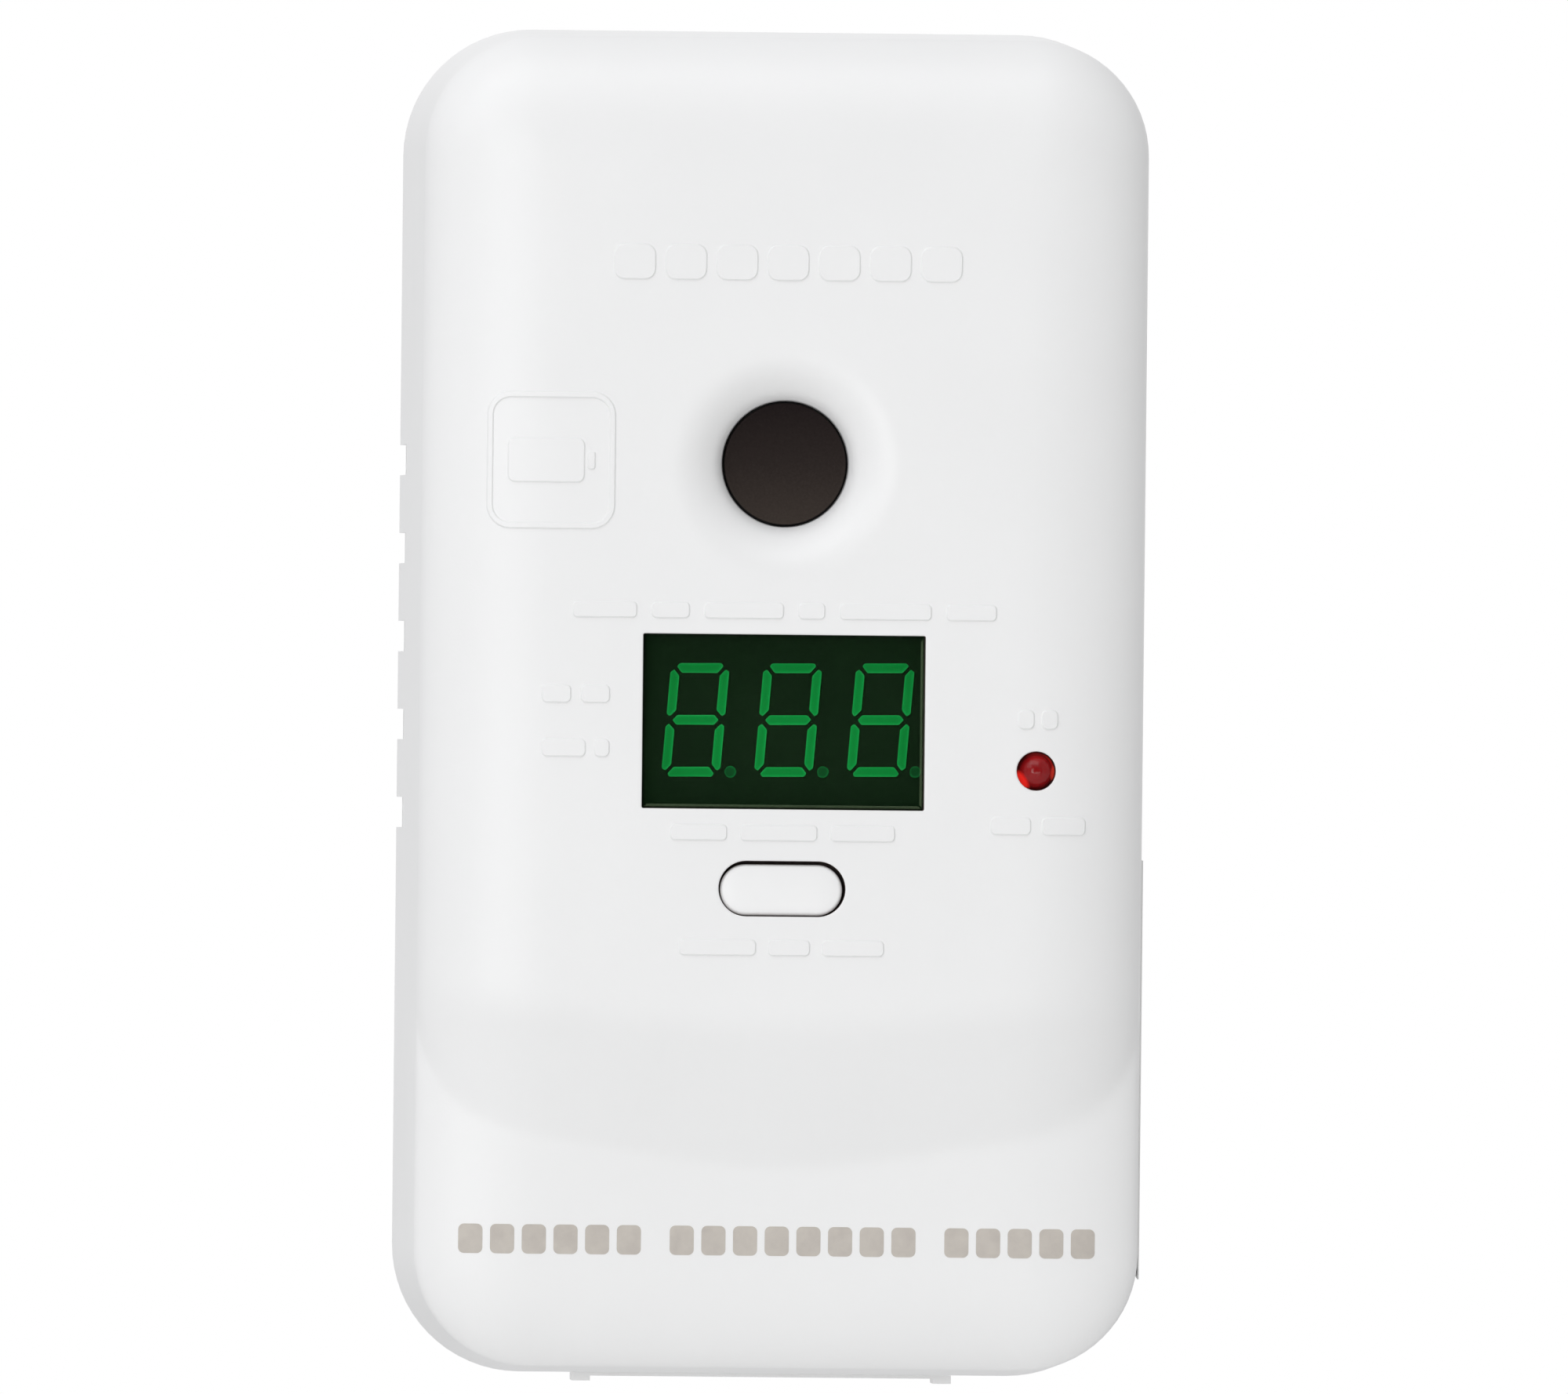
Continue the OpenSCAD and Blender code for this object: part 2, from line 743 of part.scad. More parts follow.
module horn_inductor() {
    color([0.16, 0.16, 0.17])
    difference() {
        bar(18.5, 14, 4.4, board_d - 8, board_d - 0.02);
        at_depth(board_d - 6.6) place(18.5, 14) difference() {
            cylinder(r = 6, h = 5);
            translate([0, 0, -cut]) cylinder(r = 3.4, h = 5 + 2 * cut);
        }
    }
}

module electrolytic_capacitor() {
    color([0.1, 0.14, 0.3])
    difference() {
        bar(15.5, 27, 3.15, board_d - 11, board_d - 0.02);
        // rolled groove near the seal
        at_depth(board_d - 2.2) place(15.5, 27)
            rotate_extrude() translate([3.35, 0]) circle(0.45);
    }
}

// ---------- gas sensor ----------

sensor_top_d = board_d - 12;

module sensor_can() {
    color(steel_grey)
    union() {
        bar(sensor_x, sensor_z, 7.1, sensor_top_d, board_d - 0.3);
        bar(sensor_x, sensor_z, 7.6, board_d - 1.5, board_d - 0.3);
    }
}

module sensor_inlet_cap() {
    color([0.3, 0.32, 0.33])
    difference() {
        bar(sensor_x, sensor_z, 7.5, sensor_top_d - 2.2, sensor_top_d - 0.02);
        for (a = [0:60:300])
            bar(sensor_x + 3.5 * cos(a), sensor_z + 3.5 * sin(a), 0.7, sensor_top_d - 3, sensor_top_d);
        bar(sensor_x, sensor_z, 0.7, sensor_top_d - 3, sensor_top_d);
    }
}

module sensor_pins() {
    color(pin_tin)
    for (p = sensor_pin_ring)
        bar(p.x, p.y, 0.5, board_d - 0.28, board_front_d + 1);
}

// ---------- battery ----------

module lithium_cell() {
    can_r = cell_d / 2;
    color([0.2, 0.45, 0.3])
    translate([-cell_len / 2, -cell_axis_d, cell_z]) rotate([0, 90, 0]) union() {
        cylinder(r = can_r, h = cell_len - 1.2);
        cylinder(r = 3.2, h = cell_len);
    }
}

module cell_tabs() {
    tab_w = 5;
    tab_t = 0.25;
    color(pin_tin)
    for (side = [-1, 1])
        translate([side * (cell_len / 2 + 0.2) - tab_t / 2, 0, 0])
            rotate([90, 0, 90]) linear_extrude(tab_t) union() {
                translate([-cell_axis_d - tab_w / 2, cell_z - 2]) square([tab_w, 17.5]);
                translate([-board_d + 0.02, cell_z + 15.5 - tab_w])
                    square([board_d - cell_axis_d, tab_w]);
            }
}

module cell_pad() {
    color([0.15, 0.15, 0.16])
    box(0, cell_z, 24, 9, floor_d + 0.02, floor_d + 1);
}

// ---------- activation switch ----------

knob_end_d = board_d - 7.5;

module slide_switch_body() {
    color(steel_grey)
    difference() {
        box(slider_travel / 2, slider_z, 12, 4.4, board_d - 4, board_d - 0.02);
        box(slider_travel / 2, slider_z, slider_travel + 2.6, 2.4, board_d - 5, board_d - 1.5);
    }
}

module slide_switch_knob() {
    color(part_black)
    box(0, slider_z, 2, 1.8, knob_end_d, board_d - 1.7);
}

module activation_slider() {
    color([0.75, 0.12, 0.1])
    difference() {
        union() {
            box(0, slider_z, slider_pad.x, slider_pad.y, back_d + 0.3, floor_d + 0.3);
            box(0, slider_z, 15, 7, floor_d + 0.15, floor_d + 1.1);
            box(0, slider_z, 4.4, 4.2, floor_d + 1, knob_end_d + 2.4);
        }
        // grip grooves of the thumb pad
        for (i = [-1, 0, 1])
            box(i * 1.4, slider_z, 0.5, 3, back_d, back_d + 0.7);
        // socket that takes the switch's knob
        box(0, slider_z, 2.2, 2, knob_end_d - 0.2, knob_end_d + 3);
    }
}

// ---------- fasteners and labels ----------

module cover_screws() {
    color(steel_grey)
    for (p = corner_posts)
        difference() {
            union() {
                bar(p.x, p.y, 2.6, 3.4, 5.48);
                bar(p.x, p.y, 1.35, 5.3, 22);
            }
            for (w = [[2.8, 0.7], [0.7, 2.8]])
                box(p.x, p.y, w.x, w.y, 3.2, 4.4);
        }
}

module board_screws() {
    color(steel_grey)
    for (p = board_posts)
        difference() {
            union() {
                bar(p.x, p.y, 2.1, board_d - 1.7, board_d - 0.02);
                bar(p.x, p.y, 1, board_d - 0.5, 30.5);
            }
            for (w = [[2.2, 0.6], [0.6, 2.2]])
                box(p.x, p.y, w.x, w.y, board_d - 1.8, board_d - 0.9);
        }
}

label_top_z = -12.3;
label_bottom_z = -45.8;
label_d = [8, 29];

module side_label() {
    label_t = 0.12;
    stand = 0.02;
    // the label lies flat on the drafted right-hand wall
    function wall_x(d) = body_w / 2 - draft * (d - cover_rear_d) + stand;
    color([0.95, 0.95, 0.93])
    translate([0, 0, label_bottom_z]) linear_extrude(label_top_z - label_bottom_z)
        polygon([
            [wall_x(label_d[0]), -label_d[0]],
            [wall_x(label_d[1]), -label_d[1]],
            [wall_x(label_d[1]) + label_t, -label_d[1]],
            [wall_x(label_d[0]) + label_t, -label_d[0]]
        ]);
}

module rear_label() {
    color([0.8, 0.81, 0.82])
    box(0, 8, 26.6, 29.6, back_d + 0.04, back_d + 0.19);
}

mounting_bracket();
rear_cover();
front_cover();
display_filter();
display_housing();
display_segments();
display_pins();
test_button();
tact_switch_body();
tact_switch_plunger();
status_led();
led_leads();
led_spacer();
horn_housing();
horn_dust_cap();
horn_gasket();
piezo_plate();
piezo_ceramic();
horn_contacts();
main_board();
microcontroller();
amplifier_chip();
clock_crystal();
chip_resistors();
chip_capacitors();
horn_inductor();
electrolytic_capacitor();
sensor_can();
sensor_inlet_cap();
sensor_pins();
lithium_cell();
cell_tabs();
cell_pad();
slide_switch_body();
slide_switch_knob();
activation_slider();
cover_screws();
board_screws();
side_label();
rear_label();
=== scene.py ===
import json
import math

import bpy
import bmesh
import numpy as np
from mathutils import Matrix, Vector
from mathutils.geometry import delaunay_2d_cdt


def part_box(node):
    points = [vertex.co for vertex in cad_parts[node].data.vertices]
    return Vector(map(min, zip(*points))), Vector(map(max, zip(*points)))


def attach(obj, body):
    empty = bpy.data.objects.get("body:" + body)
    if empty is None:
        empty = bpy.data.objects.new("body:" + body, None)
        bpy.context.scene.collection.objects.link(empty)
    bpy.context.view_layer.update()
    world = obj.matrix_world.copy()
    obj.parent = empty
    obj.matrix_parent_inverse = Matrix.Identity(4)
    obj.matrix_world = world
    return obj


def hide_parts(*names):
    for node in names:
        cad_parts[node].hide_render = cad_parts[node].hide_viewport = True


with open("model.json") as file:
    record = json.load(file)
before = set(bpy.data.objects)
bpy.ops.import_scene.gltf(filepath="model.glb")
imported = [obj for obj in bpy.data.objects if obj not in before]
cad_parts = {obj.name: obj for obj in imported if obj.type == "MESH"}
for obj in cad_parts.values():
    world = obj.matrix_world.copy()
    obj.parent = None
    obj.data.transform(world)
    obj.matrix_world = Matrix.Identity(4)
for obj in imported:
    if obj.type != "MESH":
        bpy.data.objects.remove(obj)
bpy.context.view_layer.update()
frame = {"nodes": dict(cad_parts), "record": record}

MM = 0.001

# ---------------------------------------------------------------- sizes, in millimetres
# "Depth" is the distance from the wall, so a point at depth d has y = -d.


def box_mm(node):
    """(x0, x1, d0, d1, z0, z1) of a CAD node in millimetres, with its depths from the wall."""
    lo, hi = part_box(node)
    return (lo.x / MM, hi.x / MM, -hi.y / MM, -lo.y / MM, lo.z / MM, hi.z / MM)


def centre_mm(node):
    x0, x1, _, _, z0, z1 = box_mm(node)
    return ((x0 + x1) / 2, (z0 + z1) / 2)


COVER = box_mm("front_cover")
BODY_D = COVER[3]
REAR_D = COVER[2]
CORNER_R = 10.3
CORE_X = COVER[1] - CORNER_R
CORE_Z = COVER[5] - CORNER_R
WALL = 2.0
DRAFT = math.tan(math.radians(2.3))
ROLL_W, ROLL_H, ROLL_POWER = 10.8, 5.8, 2.2
EDGE_D = BODY_D - ROLL_H
FRONT_R = CORNER_R - DRAFT * (EDGE_D - REAR_D)
SLOPE_Z, SLOPE_RISE, SLOPE_TAN, SLOPE_BLEND = -25.3, 1.5, math.tan(math.radians(15)), 3.6
LOWER_STEP, STEP_FADE = 3.2, 0.34
HORN_Z = centre_mm("horn_dust_cap")[1]
HORN_R, DISH_R, DISH_DEPTH, DISH_POWER = 5.0, 9.25, 2.3, 2.2
LENS = box_mm("display_filter")
WINDOW_Z = centre_mm("display_filter")[1]
WINDOW_W, WINDOW_H = 22.5, 13.9
BUTTON_Z = -14.8
BUTTON_W, BUTTON_H = 10.1, 4.4
LED_X, LED_Z = centre_mm("status_led")
LED_R, LED_HOLE_R = 1.5, 1.55
WINDOW_CORNER = 0.12
HORN_ROUND = 0.8             # rounding of the dish into the sounder's hole
HORN_RING_T = 3.8            # how far in the cover may reach behind the dish
EDGE_ROUND = 0.14            # rounding of every opening's edge
EMBOSS_H, EMBOSS_RAMP = 0.15, 0.12
VENT_H, VENT_LEN, VENT_PITCH, VENT_TOP_Z, VENT_COUNT = 2.45, 8.0, 7.1, 19.3, 5

# ---------------------------------------------------------------- flat shapes and distances


def arc_points(cx, cz, r, a0, a1, n):
    return [
        (cx + r * math.cos(a0 + (a1 - a0) * k / n), cz + r * math.sin(a0 + (a1 - a0) * k / n))
        for k in range(n + 1)
    ]


def circle(cx, cz, r, n=96):
    return arc_points(cx, cz, r, 0, 2 * math.pi, n)[:-1]


def subdivide(points, step):
    out = []
    for a, b in zip(points, points[1:] + points[:1]):
        n = max(1, math.ceil(math.dist(a, b) / step))
        out += [(a[0] + (b[0] - a[0]) * k / n, a[1] + (b[1] - a[1]) * k / n) for k in range(n)]
    return out


def rounded_rect(cx, cz, w, h, r, n=6, step=0.9):
    """Anticlockwise outline of a rounded rectangle, with long sides cut into short edges."""
    r = max(min(r, w / 2, h / 2), 1e-3)
    points = []
    for k, (sx, sz) in enumerate(((1, 1), (-1, 1), (-1, -1), (1, -1))):
        a0 = k * math.pi / 2
        points += arc_points(cx + sx * (w / 2 - r), cz + sz * (h / 2 - r), r, a0, a0 + math.pi / 2, n)
    clean = [p for p, q in zip(points, points[1:] + points[:1]) if math.dist(p, q) > 1e-4]
    return subdivide(clean, step)


def box_distance(x, z, cx, cz, w, h, r):
    """Signed distance to a rounded rectangle, negative inside."""
    r = min(r, w / 2, h / 2)
    qx = np.abs(x - cx) - (w / 2 - r)
    qz = np.abs(z - cz) - (h / 2 - r)
    return np.hypot(np.maximum(qx, 0), np.maximum(qz, 0)) + np.minimum(np.maximum(qx, qz), 0) - r


def circle_distance(x, z, cx, cz, r):
    return np.hypot(x - cx, z - cz) - r


# ---------------------------------------------------------------- the front surface


def roll(e, w, h, n):
    t = np.clip(1 - e / w, 0, 1)
    return h * (1 - np.power(np.clip(1 - t**n, 0, 1), 1 / n))


def ramp(v, b):
    bend = np.square(np.clip(v + b / 2, 0, b)) / (2 * b)
    return np.where(v >= b / 2, v, bend)


def inset_of(x, z, r):
    """Distance inside an outline whose corner arcs have radius r."""
    qx = np.abs(x) - CORE_X
    qz = np.abs(z) - CORE_Z
    return r - np.hypot(np.maximum(qx, 0), np.maximum(qz, 0)) - np.minimum(np.maximum(qx, qz), 0)


def smooth_max(a, b, k):
    h = np.maximum(k - np.abs(a - b), 0) / k
    return np.maximum(a, b) + h * h * k / 4


def bow(x):
    """Runs smoothly from 0 in the middle to 1 near the sides."""
    return (1 - np.cos(np.minimum(math.pi, math.pi * np.abs(x) / (CORE_X + CORNER_R - 4)))) / 2


def form_depth(x, z):
    """Depth of the front without its openings and marks."""
    e = np.maximum(0, inset_of(x, z, FRONT_R))
    drop = roll(e, ROLL_W, ROLL_H, ROLL_POWER)
    step = LOWER_STEP - STEP_FADE * bow(x)
    upper = BODY_D - drop - SLOPE_TAN * ramp(SLOPE_Z + SLOPE_RISE * bow(x) - z, SLOPE_BLEND)
    lower = BODY_D - step - drop * (ROLL_H - step) / ROLL_H
    return smooth_max(upper, lower, 0.16 * np.clip(e / 3, 0.01, 1))


def dish_drop(x, z):
    """The sounder's dish, which rolls over into the hole at its middle."""
    from_axis = np.hypot(x, z - HORN_Z)
    t = np.clip((DISH_R - from_axis) / (DISH_R - HORN_R), 0, 1)
    s = np.clip(from_axis - HORN_R, 0, HORN_ROUND)
    rim = HORN_ROUND - np.sqrt(np.maximum(HORN_ROUND**2 - (HORN_ROUND - s) ** 2, 0))
    return DISH_DEPTH * np.power(t, DISH_POWER) + rim


def edge_drop(s):
    """Depth lost at distance s from an opening's edge, which is slightly rounded."""
    s = np.clip(s, 0, EDGE_ROUND)
    return EDGE_ROUND - np.sqrt(np.maximum(EDGE_ROUND**2 - (EDGE_ROUND - s) ** 2, 0))


# Each opening: signed distance to its edge, and its outline grown by an offset.
HOLES = [
    {"d": lambda x, z: circle_distance(x, z, 0, HORN_Z, HORN_R),
     "loop": lambda o: circle(0, HORN_Z, HORN_R + o, 112)},
    {"d": lambda x, z: box_distance(x, z, 0, WINDOW_Z, WINDOW_W, WINDOW_H, WINDOW_CORNER),
     "loop": lambda o: rounded_rect(0, WINDOW_Z, WINDOW_W + 2 * o, WINDOW_H + 2 * o,
                                    WINDOW_CORNER + o, 5)},
    {"d": lambda x, z: box_distance(x, z, 0, BUTTON_Z, BUTTON_W, BUTTON_H, BUTTON_H / 2),
     "loop": lambda o: rounded_rect(0, BUTTON_Z, BUTTON_W + 2 * o, BUTTON_H + 2 * o, 9, 14, 0.5)},
    {"d": lambda x, z: circle_distance(x, z, LED_X, LED_Z, LED_HOLE_R),
     "loop": lambda o: circle(LED_X, LED_Z, LED_HOLE_R + o, 40)},
]
HOLE_OFFSETS = [EDGE_ROUND * (1 - math.cos(math.radians(a))) for a in (0, 30, 52, 72, 90)] + [0.32]
DISH_OFFSETS = [0.48, 0.7, 0.95, 1.2, 1.7, 2.2, 2.7, 3.2, 3.6, 3.9, 4.15, 4.45, 4.9]

# Raised marks: plain bars, rings and a battery sign that stand in for whatever is moulded there.
# Each is (centre x, centre z, width, height, corner radius).


def bars(x, z, widths, h, gap):
    """A row of bars centred on x."""
    total = sum(widths) + gap * (len(widths) - 1)
    out = []
    x0 = x - total / 2
    for w in widths:
        out.append((x0 + w / 2, z, w, h, h * 0.3))
        x0 += w + gap
    return out


MARKS = (
    bars(0, 35.1, (3.4, 3.4, 3.4, 3.4, 3.4, 3.4, 3.4), 2.9, 0.68)
    + bars(0, 7.35, (5.2, 3.1, 6.4, 2.2, 7.4, 4.1), 1.35, 1.1)
    + bars(-16.6, 0.6, (2.4, 2.4), 1.5, 0.7)
    + bars(-16.6, -3.7, (3.6, 1.3), 1.5, 0.6)
    + bars(20.3, -1.1, (1.4, 1.4), 1.6, 0.5)
    + bars(20.4, -9.6, (3.3, 3.6), 1.5, 0.8)
    + bars(0, -10.35, (4.6, 6.2, 5.2), 1.35, 1.0)
    + bars(0, -19.5, (6.2, 3.4, 5.0), 1.35, 0.9)
)
BADGE = (-18.75, 19.2, 10.3, 11.0, 1.9)
BADGE_RIM = 0.55
BATTERY = [
    (-19.15, 19.2, 6.2, 3.6, 0.6),
    (-15.55, 19.2, 0.7, 1.5, 0.25),
]


def badge_distance(x, z):
    cx, cz, w, h, r = BADGE
    outer = box_distance(x, z, cx, cz, w, h, r)
    inner = box_distance(x, z, cx, cz, w - 2 * BADGE_RIM, h - 2 * BADGE_RIM, r - BADGE_RIM)
    return np.maximum(outer, -inner)


def mark_height(x, z):
    shapes = [box_distance(x, z, *m) for m in MARKS + BATTERY] + [badge_distance(x, z)]
    d = np.minimum.reduce(shapes)
    return EMBOSS_H * np.clip(-d / EMBOSS_RAMP, 0, 1)


def front_height(x, z):
    depth = form_depth(x, z) - dish_drop(x, z) + mark_height(x, z)
    for hole in HOLES:
        depth = depth - edge_drop(np.maximum(hole["d"](x, z), 0))
    return depth


def front_points():
    """Points of the front's rings, grid and feature loops, and the loops' edges."""
    insets = (0, 0.05, 0.12, 0.22, 0.35, 0.5, 0.7, 0.95, 1.25, 1.6, 2.0, 2.5, 3.1, 3.8, 4.6, 5.5, 6.4,
              7.3, 8.2, 8.9)
    xs = np.linspace(-CORE_X, CORE_X, 35)
    zs = np.concatenate([
        np.linspace(-CORE_Z, -39, 5)[:-1], np.linspace(-39, -22, 35)[:-1],
        np.linspace(-22, CORE_Z, 56),
    ])
    corner_steps = 16
    loose = []
    outline = []
    for e in insets:
        p = FRONT_R - e
        ring = [(CORE_X + p, z) for z in zs]
        quarter = math.pi / 2
        steps = range(1, corner_steps)
        ring += [(CORE_X + p * math.cos(quarter * k / corner_steps),
                  CORE_Z + p * math.sin(quarter * k / corner_steps)) for k in steps]
        ring += [(x, CORE_Z + p) for x in xs[::-1]]
        ring += [(-CORE_X - p * math.sin(quarter * k / corner_steps),
                  CORE_Z + p * math.cos(quarter * k / corner_steps)) for k in steps]
        ring += [(-CORE_X - p, z) for z in zs[::-1]]
        ring += [(-CORE_X - p * math.cos(quarter * k / corner_steps),
                  -CORE_Z - p * math.sin(quarter * k / corner_steps)) for k in steps]
        ring += [(x, -CORE_Z - p) for x in xs]
        ring += [(CORE_X + p * math.sin(quarter * k / corner_steps),
                  -CORE_Z - p * math.cos(quarter * k / corner_steps)) for k in steps]
        if e == 0:
            outline = ring
        else:
            loose += ring
    loose += [(x, z) for x in xs for z in zs]
    loose = np.array(loose)

    x, z = loose[:, 0], loose[:, 1]
    keep = np.ones(len(loose), bool)
    for k, hole in enumerate(HOLES):
        margin = DISH_OFFSETS[-1] + 0.4 if k == 0 else HOLE_OFFSETS[-1] + 0.3
        keep &= hole["d"](x, z) > margin
    for m in MARKS + BATTERY:
        keep &= np.abs(box_distance(x, z, *m) + EMBOSS_RAMP / 2) > 0.3
    cx, cz, w, h, r = BADGE
    for shrink in (0, BADGE_RIM):
        keep &= np.abs(box_distance(x, z, cx, cz, w - 2 * shrink, h - 2 * shrink, r - shrink)) > 0.4
    loose = loose[keep]

    loops = [outline]
    for k, hole in enumerate(HOLES):
        offsets = HOLE_OFFSETS + (DISH_OFFSETS if k == 0 else [])
        loops += [hole["loop"](o) for o in offsets]
    for cx, cz, w, h, r in MARKS + BATTERY:
        for s in (-EMBOSS_RAMP, 0, EMBOSS_RAMP):
            loops.append(rounded_rect(cx, cz, w - 2 * s, h - 2 * s, max(r - s, 0.05), 4, 1.3))
    cx, cz, w, h, r = BADGE
    for s in (0, EMBOSS_RAMP, BADGE_RIM - EMBOSS_RAMP, BADGE_RIM):
        loops.append(rounded_rect(cx, cz, w - 2 * s, h - 2 * s, r - s, 6, 1.3))
    return loose, loops


def triangulate_front():
    """(x, z) points and triangles of the front, with its openings left out."""
    loose, loops = front_points()
    points = [Vector(p) for p in loose]
    edges = []
    for loop in loops:
        n0 = len(points)
        points += [Vector(p) for p in loop]
        edges += [(n0 + k, n0 + (k + 1) % len(loop)) for k in range(len(loop))]
    verts, _, faces, *_ = delaunay_2d_cdt(points, edges, [], 0, 1e-5)
    xz = np.array([(v.x, v.y) for v in verts])
    tris = np.array([f for f in faces if len(f) == 3])
    mid = xz[tris].mean(axis=1)
    keep = inset_of(mid[:, 0], mid[:, 1], FRONT_R) > -1e-6
    for hole in HOLES:
        keep &= hole["d"](mid[:, 0], mid[:, 1]) > 0
    a, b, c = (xz[tris[:, k]] for k in range(3))
    area = (b[:, 0] - a[:, 0]) * (c[:, 1] - a[:, 1]) - (c[:, 0] - a[:, 0]) * (b[:, 1] - a[:, 1])
    keep &= np.abs(area) > 1e-7
    tris = np.where((area > 0)[:, None], tris, tris[:, ::-1])[keep]
    used = np.unique(tris)
    remap = np.full(len(xz), -1)
    remap[used] = np.arange(len(used))
    return xz[used], remap[tris]


def boundary_edges(tris):
    """Directed boundary edges of a triangle mesh."""
    seen = {}
    for t in tris:
        for a, b in ((t[0], t[1]), (t[1], t[2]), (t[2], t[0])):
            seen[(int(a), int(b))] = True
    return [(a, b) for (a, b) in seen if (b, a) not in seen]


# ---------------------------------------------------------------- making pieces


def new_object(name, verts_mm, faces, check=False):
    """An object from (x, depth, z) points in millimetres, with its faces turned outwards."""
    mesh = bpy.data.meshes.new(name)
    mesh.from_pydata([(x * MM, -d * MM, z * MM) for x, d, z in verts_mm], [], faces)
    if check:
        mesh.validate()
    bm = bmesh.new()
    bm.from_mesh(mesh)
    bmesh.ops.recalc_face_normals(bm, faces=bm.faces)
    bm.to_mesh(mesh)
    bm.free()
    obj = bpy.data.objects.new(name, mesh)
    bpy.context.scene.collection.objects.link(obj)
    return obj


def new_piece(name, verts_mm, faces, material, body, replaced=(), smooth_angle=40):
    obj = new_object(name, verts_mm, faces, check=True)
    finish_piece(obj, material, body, replaced, smooth_angle)
    return obj


def finish_piece(obj, material, body, replaced, smooth_angle):
    mesh = obj.data
    mesh.polygons.foreach_set("use_smooth", [True] * len(mesh.polygons))
    mesh.set_sharp_from_angle(angle=math.radians(smooth_angle))
    if not mesh.materials:
        for m in material if isinstance(material, (list, tuple)) else [material]:
            mesh.materials.append(m)
    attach(obj, body)
    if replaced:
        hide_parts(*replaced)


class Shape:
    """Collects closed shells of (x, depth, z) points in millimetres."""

    def __init__(self):
        self.verts = []
        self.faces = []

    def add(self, verts, faces):
        n = len(self.verts)
        self.verts += verts
        self.faces += [[n + i for i in f] for f in faces]

    def loft(self, sections, closed=False):
        """sections are lists of as many points each. Fans close the ends unless the loft is a ring."""
        n = len(sections[0])
        verts = [p for s in sections for p in s]
        faces = []
        last = len(sections) if closed else len(sections) - 1
        for j in range(last):
            a0, b0 = j * n, (j + 1) % len(sections) * n
            faces += [[a0 + k, a0 + (k + 1) % n, b0 + (k + 1) % n, b0 + k] for k in range(n)]
        if not closed:
            for end in (0, len(sections) - 1):
                centre = tuple(np.mean(sections[end], axis=0))
                verts.append(centre)
                c = len(verts) - 1
                faces += [[end * n + k, end * n + (k + 1) % n, c] for k in range(n)]
        self.add(verts, faces)

    def lathe(self, cx, cz, profile, n=64, closed=False):
        """profile is a list of (radius, depth) pairs."""
        self.loft([[(x, d, z) for x, z in circle(cx, cz, r, n)] for r, d in profile], closed)

    def prism(self, outline, levels):
        """Stacks an outline function of one offset at (offset, depth) levels."""
        self.loft([[(x, d, z) for x, z in outline(o)] for o, d in levels])


def rounded_levels(d0, d1, r, steps=4, back_r=0.0):
    """(offset, depth) levels of a prism from d0 to d1, with rounded edges."""
    levels = []
    if back_r:
        for k in range(steps + 1):
            a = math.pi / 2 * k / steps
            levels.append((-back_r * (1 - math.sin(a)), d0 + back_r * (1 - math.cos(a))))
    else:
        levels.append((0, d0))
    for k in range(steps + 1):
        a = math.pi / 2 * k / steps
        levels.append((-r * (1 - math.cos(a)), d1 - r * (1 - math.sin(a))))
    return levels


# ---------------------------------------------------------------- materials


def node_material(name):
    m = bpy.data.materials.new(name)
    m.use_nodes = True
    tree = m.node_tree
    return m, tree, tree.nodes["Principled BSDF"]


def feed(tree, socket, value):
    """Gives a socket a plain value, or links it to another socket."""
    if isinstance(value, (int, float, tuple)):
        socket.default_value = value
    else:
        tree.links.new(value, socket)


def add_math(tree, operation, *values):
    node = tree.nodes.new("ShaderNodeMath")
    node.operation = operation
    for k, value in enumerate(values):
        feed(tree, node.inputs[k], value)
    return node.outputs[0]


def add_dot(tree, vector, towards):
    node = tree.nodes.new("ShaderNodeVectorMath")
    node.operation = "DOT_PRODUCT"
    node.inputs[1].default_value = towards
    tree.links.new(vector, node.inputs[0])
    return node.outputs["Value"]


def add_mix(tree, factor, a, b, blend="MIX"):
    mix = tree.nodes.new("ShaderNodeMix")
    mix.data_type = "RGBA"
    mix.blend_type = blend
    for key, value in (("Factor", factor), ("A", a), ("B", b)):
        feed(tree, mix.inputs[key], value)
    return mix.outputs["Result"]


def add_noise(tree, scale, detail=3.0, roughness=0.5):
    """A noise texture in object space, whose scale is in cycles per metre."""
    coords = tree.nodes.new("ShaderNodeTexCoord")
    noise = tree.nodes.new("ShaderNodeTexNoise")
    noise.inputs["Scale"].default_value = scale
    noise.inputs["Detail"].default_value = detail
    noise.inputs["Roughness"].default_value = roughness
    tree.links.new(coords.outputs["Object"], noise.inputs["Vector"])
    return noise.outputs["Fac"]


def add_ramp(tree, fac, stops):
    ramp_node = tree.nodes.new("ShaderNodeValToRGB")
    ramp_node.color_ramp.elements[0].position = stops[0][0]
    ramp_node.color_ramp.elements[0].color = (*stops[0][1], 1)
    ramp_node.color_ramp.elements[1].position = stops[-1][0]
    ramp_node.color_ramp.elements[1].color = (*stops[-1][1], 1)
    for pos, col in stops[1:-1]:
        ramp_node.color_ramp.elements.new(pos).color = (*col, 1)
    tree.links.new(fac, ramp_node.inputs["Fac"])
    return ramp_node.outputs["Color"]


def add_range(tree, fac, low, high):
    node = tree.nodes.new("ShaderNodeMapRange")
    node.inputs["To Min"].default_value = low
    node.inputs["To Max"].default_value = high
    tree.links.new(fac, node.inputs["Value"])
    return node.outputs["Result"]


